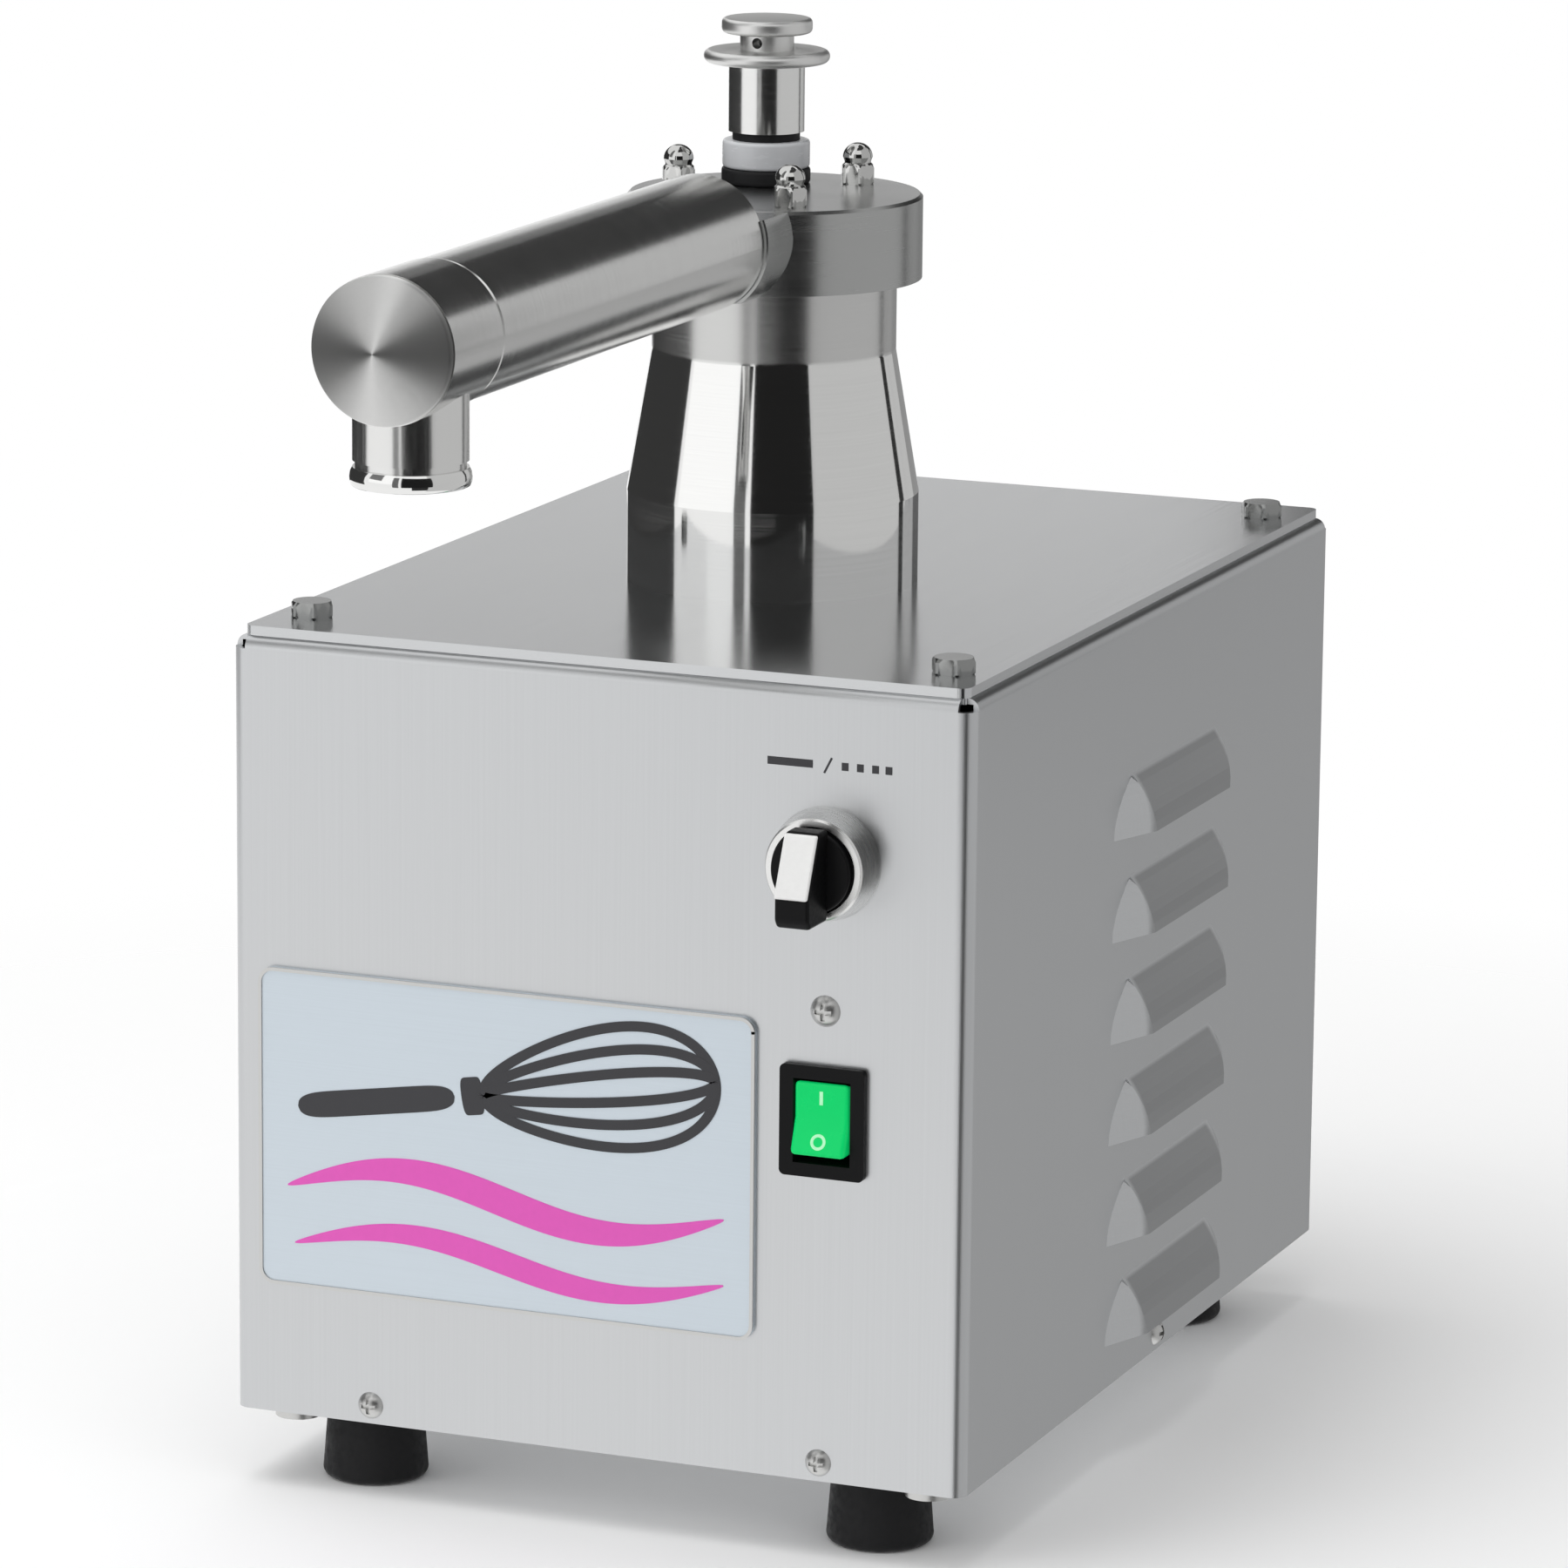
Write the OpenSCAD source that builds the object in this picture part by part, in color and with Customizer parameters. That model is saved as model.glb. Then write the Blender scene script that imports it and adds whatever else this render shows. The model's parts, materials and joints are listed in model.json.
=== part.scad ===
// Whipped cream machine. A folded sheet housing stands on rubber feet and holds the motor.
// A turned column on its top plate carries a gear pump, an air valve and the outlet arm.
// The axes: x to the right, y to the back, z up. The front panel looks towards -y.

/* [Housing] */
// Width of the housing
body_w = 200; // [198:1:240]
// Depth of the housing
body_d = 277; // [265:1:320]
// Height of the sheet shell
body_h = 202; // [196:1:240]
// Thickness of the folded sheet
wall = 1.5; // [1:0.1:2.2]
// Outside radius of the upright corners
corner_r = 4; // [4:0.5:8]
// Outside radius of the fold along the top
fold_r = 3; // [2:0.25:3.5]
// Width of the folded lip under the top plate
lip_w = 28; // [27:1:34]
// Thickness of the top plate
plate_t = 2.5; // [1.5:0.1:4]
// Distance from the shell's outside to the edge of the top plate
plate_inset = 2.5; // [1:0.5:5]
// Height of the base pan's upturned edge
pan_h = 13; // [11:1:20]

/* [Feet] */
// Height of a foot
foot_h = 20; // [15:1:30]
// Radius of a foot at the floor
foot_r = 13.6; // [12:0.2:14.6]
// Radius of a foot where it meets the base pan
foot_top_r = 12.2; // [10:0.2:13]
// Distance of the feet from the housing's sides
foot_side = 30; // [29:1:50]
// Distance of the front feet from the front panel
foot_front = 21.5; // [20:0.5:40]
// Distance of the rear feet from the rear panel
foot_back = 33; // [20:0.5:50]

/* [Corner bolts] */
// Thread radius of the corner bolts
bolt_r = 3; // [2.5:0.25:4]
// Width across the flats of the corner bolts
bolt_flats = 10; // [8:0.5:10.5]
// Height of a bolt head
bolt_head_h = 4; // [3:0.5:7]
// Distance of the bolts from the housing's outside
bolt_inset = 13; // [11.5:0.5:13]
// Distance of the plate bolts from the front and the back
bolt_setback = 20.5; // [14:0.5:21]

/* [Side louvres] */
// Number of louvres on each side
louvre_count = 6; // [2:1:6]
// Height from one louvre to the next
louvre_pitch = 26.9; // [22:0.1:27.5]
// Height of the lowest louvre's lip above the shell's lower edge
louvre_low = 11.5; // [9:0.5:16]
// Height of a louvre from its lip to its crease
louvre_h = 15.5; // [11:0.5:18]
// Bulge of a louvre
louvre_out = 6; // [4:0.2:9]
// Length of a louvre's crease
crease_len = 66; // [40:1:90]
// Distance of the crease's middle behind the housing's middle
crease_y = 11; // [-10:1:25]

/* [Front panel] */
// Distance of the selector and the switch from the middle, sideways
control_x = 62.2; // [58:0.5:72]
// Height of the selector above the shell's lower edge
selector_z = 158.5; // [148:0.5:165]
// Height of the panel screw above the shell's lower edge
panel_screw_z = 121; // [117:0.5:126]
// Height of the power switch above the shell's lower edge
switch_z = 93; // [80:0.5:97]
// Outside radius of the selector's bezel
bezel_r = 14.3; // [12.8:0.1:17]
// Radius of the selector's barrel in the panel
barrel_r = 11; // [9:0.1:11.5]
// Radius of the selector knob's disc
knob_r = 11.5; // [8:0.1:13]
// Width of the selector's handle
handle_w = 9; // [6:0.2:12]
// Height of the handle above the selector's axis
handle_up = 11; // [7:0.5:12]
// Length of the handle below the selector's axis
handle_down = 12; // [9:0.5:16]
// Width of the switch frame
switch_w = 22.5; // [22:0.5:30]
// Height of the switch frame
switch_h = 28.4; // [27:0.2:34]
// Width of the rocker
rocker_w = 14.6; // [12:0.2:16]
// Height of the rocker
rocker_h = 18.8; // [15:0.2:19.5]
// Tilt of the rocker in either position
rocker_tilt = 10; // [6:0.5:11]
// Width of the name plate
name_w = 136; // [100:1:138]
// Height of the name plate
name_h = 83; // [50:1:95]
// Distance of the name plate's middle from the housing's middle, sideways
name_x = -24; // [-25:1:-18]
// Height of the name plate's middle above the shell's lower edge
name_z = 76; // [65:1:90]
// Thickness of the name plate
name_t = 1.2; // [0.6:0.1:2]

/* [Column] */
// Distance of the column's axis from the middle, sideways
column_x = -1; // [-12:0.5:12]
// Distance of the column's axis in front of the housing's middle
column_front = 20; // [5:1:35]
// Radius of the column's foot
base_r = 38; // [36:0.5:46]
// Height of the cylindrical foot
base_h = 23.5; // [18:0.5:32]
// Height of the cone above the foot
cone_h = 37; // [25:0.5:50]
// Radius of the neck
neck_r = 31.7; // [28:0.1:35]
// Height of the neck
neck_h = 19; // [12:0.5:30]
// Radius of the pump head
head_r = 38.2; // [37.6:0.1:44]
// Height of the pump head with its lid
head_h = 21.7; // [20:0.1:30]
// Thickness of the pump head's lid
lid_t = 6; // [4.5:0.25:7]
// Radius of the circle of lid studs
stud_circle_r = 27.1; // [26.6:0.1:29]
// Turn of the lid studs from the front
stud_turn = 30; // [26:1:34]
// Thread radius of the lid studs
stud_r = 2.5; // [2:0.25:3]

/* [Pump and drive] */
// Radius of the drive shaft
shaft_r = 6; // [5:0.25:6.5]
// Outside radius of the shaft's bearings
bearing_r = 14; // [12:0.5:16]
// Height of a bearing
bearing_h = 8; // [6:0.5:10]
// Pitch radius of the pump gears
gear_r = 10.5; // [10:0.1:11]
// Number of teeth on a pump gear
gear_teeth = 14; // [14:2:18]
// Radius of the motor
motor_r = 45; // [38:1:55]
// Length of the motor's can
motor_len = 90; // [70:1:100]
// Length of the posts that carry the motor
post_len = 40; // [36:1:50]
// Radius of the cooling fan
fan_r = 36; // [28:1:42]

/* [Outlet arm] */
// Outside radius of the outlet tube
tube_r = 17.6; // [15:0.1:20]
// Radius of the tube's bore
tube_bore_r = 14; // [13.6:0.1:14.4]
// Height of the tube's axis above the foot of the pump head
arm_rise = 15; // [12.5:0.5:17.5]
// Distance from the column's axis to the root of the tube
root_reach = 50; // [44:0.5:60]
// Length of the outlet tube
tube_len = 161.5; // [120:0.5:200]
// Outside radius of the outlet head
outlet_r = 17.9; // [16:0.1:22]
// Length of the outlet head
outlet_len = 28; // [28:0.5:40]
// Thickness of the end cap's rim
cap_t = 2.4; // [1.5:0.1:4]
// Height of the end cap's cone
cap_cone = 4.5; // [2:0.25:8]
// Outside radius of the spout
spout_r = 13.7; // [12:0.1:13.8]
// Radius of the spout's bore
spout_bore_r = 11; // [8:0.1:11.5]
// Length of the spout below the arm's axis
spout_len = 33.7; // [26:0.5:45]

/* [Air valve] */
// Distance of the valve's axis from the column's axis
valve_reach = 17.8; // [17.2:0.1:20]
// Radius of the clear ring
clear_r = 11.4; // [10.4:0.1:13]
// Height of the clear ring
clear_h = 7.2; // [5:0.1:12]
// Height of the dark ring under the clear ring
dark_h = 4.1; // [2:0.1:6]
// Radius of the valve's sleeve
sleeve_r = 9.9; // [9:0.1:11]
// Height of the sleeve above the rings
sleeve_h = 17.6; // [12:0.2:28]
// Radius of the valve's wheel
wheel_r = 16.4; // [13:0.1:20]
// Thickness of the wheel
wheel_t = 3.4; // [2.5:0.1:6]
// Gap between the wheel and its cap
wheel_neck_h = 4.3; // [3.5:0.1:8]
// Radius of the valve's cap
valve_cap_r = 11.8; // [9:0.1:14]
// Height of the valve's cap
valve_cap_h = 3.9; // [3:0.1:8]

/* [Hidden] */
$fn = 72;

// Clearances and small overlaps of cutting tools
face_gap = 0.2;
screw_gap = 0.15;
running_gap = 0.05;
moving_gap = 0.3;
cut = 1;

// Levels and places
shell_top = foot_h + body_h;
deck = shell_top + plate_t;
pan_floor = foot_h + wall;
column_y = -column_front;
neck_bottom = deck + base_h + cone_h;
neck_top = neck_bottom + neck_h;
head_top = neck_top + head_h;
lid_bottom = head_top - lid_t;
arm_z = neck_top + arm_rise;
outlet_start = root_reach + tube_len + face_gap;
outlet_end = outlet_start + outlet_len;
arm_end = outlet_end + cap_t + cap_cone;
corner_places = [for (sx = [-1, 1], sy = [-1, 1])
    [sx * (body_w / 2 - bolt_inset), sy * (body_d / 2 - bolt_setback)]];
foot_front_y = -body_d / 2 + foot_front;
foot_back_y = body_d / 2 - foot_back;
foot_x = body_w / 2 - foot_side;
foot_places = [for (y = [foot_front_y, foot_back_y], x = [-foot_x, foot_x]) [x, y]];

// Cord gland at the rear
gland_x = 60;
gland_z = 40;
gland_r = 8;
gland_bore_r = 3.6;
gland_barrel_r = 8.8;
gland_flats = 19;
gland_out = 16;
gland_in = 12;
gland_nut_t = 5;

// The origin is the middle of the whole machine's outline on the floor
front_end = column_y - arm_end;
back_end = body_d / 2 + gland_out;
origin_y = -(front_end + back_end) / 2;

// Foot screws
foot_screw_r = 2.5;
foot_screw_head_r = 4.75;
foot_screw_head_h = 3.4;
foot_seat_t = 6;
foot_recess_r = 7;
foot_edge_r = 2;
foot_nut_flats = 8;
foot_nut_h = 4;

// Nuts under the corner bolts
corner_nut_h = 5;
bolt_tail = 1;

// Bolts through the base pan
pan_bolt_side = 13;
pan_bolt_end = 11;
pan_bolt_r = 2.5;
pan_bolt_tail = 3;
pan_bolt_head_r = 6;
pan_bolt_head_h = 3.4;
pan_bolt_places = [for (sx = [-1, 1], sy = [-1, 1])
    [sx * (body_w / 2 - pan_bolt_side), sy * (body_d / 2 - pan_bolt_end)]];

// Shell screws
shell_screw_z = 4.8;
shell_screw_x = 61.5;
shell_screw_y = 6;
shell_screw_r = 1.9;
shell_screw_head_r = 3.5;
shell_screw_head_h = 2.2;
shell_screw_len = 7;

// Louvres: how far an end runs past the crease, and how far the lip's end lies inside it
louvre_run = 14.5;
louvre_lip_in = 4;
louvre_steps = 6;

// Selector
bezel_out = 9.5;
bezel_base = 1.5;
bezel_lip = 1.2;
barrel_in = 20;
selector_nut_t = 4;
selector_nut_r = 14;
contact_size = 28;
contact_depth = 22;
knob_stem_r = 5.5;
knob_disc_t = 1.8;
handle_top_t = 5;
handle_t = 12;
handle_end_r = 2;
handle_bite = 1;
marker_inset = 0.4;
marker_t = 1;
marker_low = -4.5;

// Power switch
switch_bezel_t = 2;
switch_corner_r = 1.5;
switch_lug = 1.5;
switch_depth = 20;
switch_cavity = 13;
pivot_in = 3;
pivot_r = 1.6;
pivot_len = 1.6;
rocker_hub_r = 4;
rocker_back = 1.5;
rocker_taper = 1.5;
rocker_dish = pivot_in + switch_bezel_t + face_gap;
rocker_end = rocker_dish + rocker_h / 2 * tan(rocker_tilt);
opening_w = rocker_w + 2 * moving_gap;
opening_h = rocker_h * cos(rocker_tilt) + 2 * rocker_end * sin(rocker_tilt) + 2 * moving_gap;

// Panel screw and control board
panel_screw_r = 2;
panel_screw_head_r = 4;
panel_screw_head_h = 2.4;
panel_nut_flats = 7;
panel_nut_h = 3.2;
panel_screw_len = 9;
bracket_x = 36;
bracket_margin = 2;
bracket_flange_h = 16;
bracket_len = 64;
bracket_h = 80;
board_gap = 5;
board_t = 1.6;
board_margin = 4;
board_post_r = 2.5;
relay_h = 14;
relay_w = 18;
relay_len = 26;

// Column, bearings and pump
bearing_shoulder = 3;
column_bore_r = bearing_r - bearing_shoulder;
bearing_ledge = 2;
plate_hole_r = bearing_r - bearing_ledge;
column_screw_circle_r = 29;
column_screw_r = 2.5;
column_screw_head_r = 4.25;
column_screw_head_h = 5;
column_screw_bite = 12;
pump_floor_t = 5.5;
seal_r = 11;
gear_pressure_angle = 20;
gear_pitch = 2 * gear_r / gear_teeth;
gear_addendum = 0.8 * gear_pitch;
gear_dedendum = 1.1 * gear_pitch;
gear_tip_r = gear_r + gear_addendum;
gear_root_r = gear_r - gear_dedendum;
gear_backlash = 0.3;
gear_steps = 4;
idler_distance = 2 * gear_r;
stud_count = 3;
idler_turn = stud_turn - 90 + 180 / stud_count;
idler_place = polar(idler_distance, idler_turn);
idler_r = 4;
idler_bite = 4;
chamber_r = gear_tip_r + moving_gap;
chamber_floor = neck_top + pump_floor_t;
chamber_h = lid_bottom - chamber_floor;
gear_h = chamber_h - 2 * face_gap;
port_z = chamber_floor + chamber_h / 2;
port_r = 4;
outlet_port_x = 5;
suction_x = 5;
suction_r = 4.5;
suction_bore_r = 3;
suction_step = 0.5;
air_duct_r = 2;
suction_out = 24;
suction_bite = 7;
boss_margin = 0.9;
boss_r = tube_r + boss_margin;
function around_column(r, turn) = [r * sin(turn), -r * cos(turn)];
stud_places = [for (i = [0:stud_count - 1]) around_column(stud_circle_r, stud_turn + i * 360 / stud_count)];
stud_bite = 8;
cap_nut_flats = 8;
cap_nut_h = 7;
cap_nut_dome_r = 3.7;
lid_chamfer = 0.8;

// Motor
post_r = 5;
post_reach = 44;
motor_flange_t = 9;
motor_flange_lip = 6;
motor_rim_t = 3;
cover_t = 8;
motor_shaft_r = 5;
stator_r = 27;
rotor_gap = 0.6;
rotor_end_gap = 6;
coupling_r = 12;
coupling_len = 24;
fan_hub_r = 10;
fan_hub_len = 14;
fan_blade_t = 1.6;
fan_blade_inset = 1;
fan_blades = 8;
fan_gap = 3;
shaft_tail = 3;
motor_top = shell_top - post_len;
can_top = motor_top - motor_flange_t;
can_bottom = can_top - motor_len;
motor_bottom = can_bottom - cover_t;
fan_top = motor_bottom - fan_gap;
shaft_joint = (shell_top + motor_top) / 2;
capacitor_r = 18;
capacitor_h = 75;
capacitor_side = 40;
capacitor_back = 63.5;
capacitor_x = body_w / 2 - capacitor_side;
capacitor_y = body_d / 2 - capacitor_back;

// Outlet arm
tube_end_wall = 5;
spigot_r = 6.5;
spigot_len = 6;
outlet_bore_r = 12;
neck_spigot_len = 8;
spout_shift = 0.5;
spout_at = outlet_len / 2 - spout_shift;
spout_groove_depth = 0.6;
spout_lip_h = 4.4;
spout_groove_h = 1.6;
edge_round = 0.8;
baffle_count = 10;
baffle_t = 3;
baffle_rod_r = 4;
baffle_gap = 0.25;

// Air valve, opposite the first stud
valve_place = around_column(valve_reach, stud_turn + 180);
ring_step = 0.2;
dark_r = clear_r + ring_step;
clear_bottom = head_top + dark_h;
clear_top = clear_bottom + clear_h;
sleeve_seal_h = 2.2;
seal_inset = 1.1;
sleeve_bottom = clear_top + sleeve_seal_h;
wheel_bottom = sleeve_bottom + sleeve_h + face_gap;
wheel_top = wheel_bottom + wheel_t;
valve_cap_bottom = wheel_top + wheel_neck_h;
stem_r = 6.5;
lid_web = 2;
stem_bite = lid_t - lid_web;
air_bore_r = 4;
wheel_neck_r = 7;
wheel_spigot_len = 8;
needle_r = 2.4;
needle_tip_r = 0.8;
needle_gap = 0.3;
needle_tip_h = 4;
needle_rise = 0.8;
air_hole_r = 1.4;

// Colours
steel = [0.78, 0.79, 0.80];
polished = [0.70, 0.71, 0.73];
dark_rubber = [0.07, 0.07, 0.08];
black_plastic = [0.10, 0.10, 0.11];
zinc = [0.62, 0.64, 0.66];
motor_grey = [0.36, 0.38, 0.41];

// Frames of reference

module placed() {
    translate([0, origin_y, 0]) children();
}

module on_front(x, z) {
    translate([x, -body_d / 2, foot_h + z]) rotate([90, 0, 0]) children();
}

module on_back(x, z) {
    translate([x, body_d / 2, foot_h + z]) rotate([90, 0, 180]) children();
}

module on_sides(y, z) {
    for (side = [0, 1])
        mirror([side, 0, 0])
            translate([body_w / 2, y, foot_h + z]) rotate([90, 0, 90]) children();
}

module on_column(z) {
    translate([column_x, column_y, z]) children();
}

module on_idler(z) {
    on_column(z) translate(idler_place) children();
}

module on_valve(z) {
    on_column(z) translate(valve_place) children();
}

module along_arm(reach) {
    on_column(arm_z) translate([0, -reach, 0]) rotate([90, 0, 0]) children();
}

module at_places(places, z) {
    for (place = places)
        translate([place[0], place[1], z]) children();
}

module at_column_screws(z) {
    on_column(z)
        for (turn = [45:90:315])
            rotate(turn) translate([column_screw_circle_r, 0, 0]) children();
}

module at_posts(z) {
    on_column(z)
        for (turn = [0:90:270])
            rotate(turn) translate([post_reach, 0, 0]) children();
}

// Shared shapes

module rounded_rectangle(w, h, r) {
    square([w - 2 * r, h], center = true);
    square([w, h - 2 * r], center = true);
    for (sx = [-1, 1], sy = [-1, 1])
        translate([sx * (w / 2 - r), sy * (h / 2 - r)]) circle(r);
}

module rounded_block(w, h, r, t) {
    linear_extrude(t) rounded_rectangle(w, h, r);
}

// A block with upright corners of radius r, whose top edge is rounded with radius e
module folded_block(w, d, h, r, e) {
    rounded_block(w, d, r, h - e);
    translate([0, 0, h - e]) rounded_block(w - 2 * e, d - 2 * e, r - e, e);
    for (side = [-1, 1]) {
        translate([side * (w / 2 - e), 0, h - e])
            rotate([90, 0, 0]) cylinder(r = e, h = d - 2 * r, center = true);
        translate([0, side * (d / 2 - e), h - e])
            rotate([0, 90, 0]) cylinder(r = e, h = w - 2 * r, center = true);
    }
    for (sx = [-1, 1], sy = [-1, 1])
        translate([sx * (w / 2 - r), sy * (d / 2 - r), h - e])
            rotate_extrude() translate([r - e, 0]) circle(e);
}

module tube(outer_r, inner_r, h) {
    difference() {
        cylinder(r = outer_r, h = h);
        translate([0, 0, -cut]) cylinder(r = inner_r, h = h + 2 * cut);
    }
}

module hex_prism(flats, h) {
    cylinder(r = flats / sqrt(3), h = h, $fn = 6);
}

module hex_nut(flats, thread_r, h) {
    difference() {
        hex_prism(flats, h);
        translate([0, 0, -cut]) cylinder(r = thread_r, h = h + 2 * cut);
    }
}

// A screw whose domed, cross-slotted head stands on z = 0 and whose shank runs down
module pan_screw(head_r, head_h, shank_r, length) {
    dome_r = (head_r * head_r + head_h * head_h) / (2 * head_h);
    slot_w = head_r / 3.5;
    slot_len = head_r * 1.1;
    difference() {
        intersection() {
            cylinder(r = head_r, h = head_h);
            translate([0, 0, head_h - dome_r]) sphere(dome_r);
        }
        for (turn = [0, 90])
            rotate(turn) translate([0, 0, head_h]) cube([slot_len, slot_w, head_h], center = true);
    }
    translate([0, 0, -length]) cylinder(r = shank_r, h = length);
}

// A pressed louvre: a straight crease on top, a bulging face down to an open lip, and curved ends.
// Its x runs along the sheet, y up and z out of the sheet. back is how deep it reaches into the sheet;
// sink and shrink draw the face and the ends in.
module louvre_form(back, sink, shrink, floor) {
    last = louvre_steps;
    half = crease_len / 2 - shrink;
    function share(k) = k / last;
    function bulge(k) = 1 - pow(1 - share(k), 2);
    function level(k) = louvre_h + (floor - louvre_h) * share(k);
    function ridge(k) = half - louvre_lip_in * share(k);
    function foot_end(k) = half + louvre_run * bulge(k);
    function row(k) = [
        [-foot_end(k), level(k), back], [-ridge(k), level(k), louvre_out * bulge(k) - sink],
        [ridge(k), level(k), louvre_out * bulge(k) - sink], [foot_end(k), level(k), back]
    ];
    function strip(k) = [
        [4 * k + 1, 4 * k + 2, 4 * k + 6, 4 * k + 5],
        [4 * k, 4 * k + 1, 4 * k + 5], [4 * k, 4 * k + 5, 4 * k + 4],
        [4 * k + 2, 4 * k + 3, 4 * k + 7], [4 * k + 2, 4 * k + 7, 4 * k + 6]
    ];
    back_face = concat([for (k = [0:last]) 4 * k], [for (k = [last:-1:0]) 4 * k + 3]);
    end_faces = [[0, 3, 2, 1], [4 * last, 4 * last + 1, 4 * last + 2, 4 * last + 3], back_face];
    polyhedron([for (k = [0:last]) each row(k)], concat([for (k = [0:last - 1]) each strip(k)], end_faces));
}

module louvre_hood() {
    louvre_form(-wall / 2, running_gap, 0, 0);
}

module louvre_slot() {
    face_t = wall * norm([louvre_h, 2 * louvre_out]) / louvre_h;
    end_t = wall * norm([louvre_run + louvre_lip_in, louvre_out]) / louvre_out;
    louvre_form(-wall - cut, face_t, end_t, -running_gap);
}

module at_louvres() {
    for (i = [0:louvre_count - 1])
        on_sides(crease_y, louvre_low + i * louvre_pitch) children();
}

// The places of the screws that hold the shell to the base pan
module at_shell_screws() {
    for (side = [-1, 1]) {
        on_front(side * shell_screw_x, shell_screw_z) children();
        on_back(side * shell_screw_x, shell_screw_z) children();
    }
    on_sides(shell_screw_y, shell_screw_z) children();
}

// Pump gears: an involute outline, thinned by the backlash

function polar(r, a) = [r * cos(a), r * sin(a)];
gear_base_r = gear_r * cos(gear_pressure_angle);
function involute_turn(r) = let (a = acos(gear_base_r / r)) tan(a) * 180 / PI - a;
function flank_turn(r) =
    90 / gear_teeth - gear_backlash / 2 / gear_r * 180 / PI + involute_turn(gear_r) - involute_turn(r);
function flank_radius(k) = gear_base_r + (gear_tip_r - gear_base_r) * k / gear_steps;
function tooth(a) = concat(
    [polar(gear_root_r, a - flank_turn(gear_base_r))],
    [for (k = [0:gear_steps]) polar(flank_radius(k), a - flank_turn(flank_radius(k)))],
    [for (k = [gear_steps:-1:0]) polar(flank_radius(k), a + flank_turn(flank_radius(k)))],
    [polar(gear_root_r, a + flank_turn(gear_base_r))]
);

module pump_gear(first_tooth, bore_r) {
    outline = [for (i = [0:gear_teeth - 1]) each tooth(first_tooth + i * 360 / gear_teeth)];
    difference() {
        linear_extrude(gear_h) polygon(outline);
        translate([0, 0, -cut]) cylinder(r = bore_r, h = gear_h + 2 * cut);
    }
}

// Housing

module housing_shell() {
    inner_r = corner_r - wall;
    color(steel) difference() {
        union() {
            translate([0, 0, foot_h]) folded_block(body_w, body_d, body_h, corner_r, fold_r);
            at_louvres() louvre_hood();
        }
        translate([0, 0, foot_h - cut])
            rounded_block(body_w - 2 * wall, body_d - 2 * wall, inner_r, body_h - wall + cut);
        translate([0, 0, shell_top - wall - cut])
            rounded_block(body_w - 2 * lip_w, body_d - 2 * lip_w, inner_r, wall + 2 * cut);
        at_louvres() louvre_slot();
        at_places(corner_places, shell_top - wall - cut)
            cylinder(r = bolt_r + screw_gap, h = wall + 2 * cut);
        at_shell_screws() panel_hole(shell_screw_r + screw_gap);
        on_front(control_x, selector_z) panel_hole(barrel_r + screw_gap);
        on_front(control_x, panel_screw_z) panel_hole(panel_screw_r + screw_gap);
        on_front(control_x, switch_z)
            translate([0, 0, -wall / 2])
                cube([switch_w - 2 * switch_lug + 2 * face_gap,
                      switch_h - 2 * switch_lug + 2 * face_gap, wall + 2 * cut], center = true);
        on_back(gland_x, gland_z) panel_hole(gland_r + screw_gap);
    }
}

module panel_hole(r) {
    translate([0, 0, -wall - cut]) cylinder(r = r, h = wall + 2 * cut);
}

module top_plate() {
    plate_w = body_w - 2 * plate_inset;
    plate_d = body_d - 2 * plate_inset;
    plate_corner_r = corner_r - plate_inset / 2;
    color(steel) translate([0, 0, shell_top]) difference() {
        rounded_block(plate_w, plate_d, plate_corner_r, plate_t);
        at_places(corner_places, -cut) cylinder(r = bolt_r + screw_gap, h = plate_t + 2 * cut);
        on_column(-cut) cylinder(r = plate_hole_r, h = plate_t + 2 * cut);
        at_column_screws(-cut) cylinder(r = column_screw_r + screw_gap, h = plate_t + 2 * cut);
    }
}

module base_pan() {
    pan_w = body_w - 2 * (wall + face_gap);
    pan_d = body_d - 2 * (wall + face_gap);
    pan_r = corner_r - wall - face_gap;
    smallest_bend = 0.5;
    color(zinc) difference() {
        translate([0, 0, foot_h]) rounded_block(pan_w, pan_d, pan_r, pan_h);
        translate([0, 0, pan_floor])
            rounded_block(pan_w - 2 * wall, pan_d - 2 * wall, max(pan_r - wall, smallest_bend), pan_h);
        at_places(pan_bolt_places, foot_h - cut)
            cylinder(r = pan_bolt_r + running_gap, h = wall + 2 * cut);
        at_places(foot_places, foot_h - cut) cylinder(r = foot_screw_r + screw_gap, h = wall + 2 * cut);
        at_shell_screws()
            translate([0, 0, -shell_screw_len])
                cylinder(r = shell_screw_r + screw_gap, h = shell_screw_len);
    }
}

module name_plate() {
    name_corner_r = 4;
    color([0.80, 0.81, 0.82]) on_front(name_x, name_z) rounded_block(name_w, name_h, name_corner_r, name_t);
}

module foot(i) {
    color(dark_rubber) translate([foot_places[i][0], foot_places[i][1], 0]) difference() {
        rotate_extrude() {
            polygon([
                [0, 0], [foot_r - foot_edge_r, 0], [foot_r, foot_edge_r], [foot_top_r, foot_h], [0, foot_h]
            ]);
            translate([foot_r - foot_edge_r, foot_edge_r]) circle(foot_edge_r);
        }
        translate([0, 0, -cut]) cylinder(r = foot_recess_r, h = foot_h - foot_seat_t + cut);
        translate([0, 0, -cut]) cylinder(r = foot_screw_r + screw_gap, h = foot_h + 2 * cut);
    }
}

module foot_screws() {
    shank = foot_seat_t + wall + foot_nut_h + bolt_tail;
    color(zinc) at_places(foot_places, foot_h - foot_seat_t)
        mirror([0, 0, 1]) pan_screw(foot_screw_head_r, foot_screw_head_h, foot_screw_r, shank);
}

module foot_nuts() {
    color(zinc) at_places(foot_places, pan_floor)
        hex_nut(foot_nut_flats, foot_screw_r + running_gap, foot_nut_h);
}

corner_nut_z = shell_top - wall - corner_nut_h;

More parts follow.
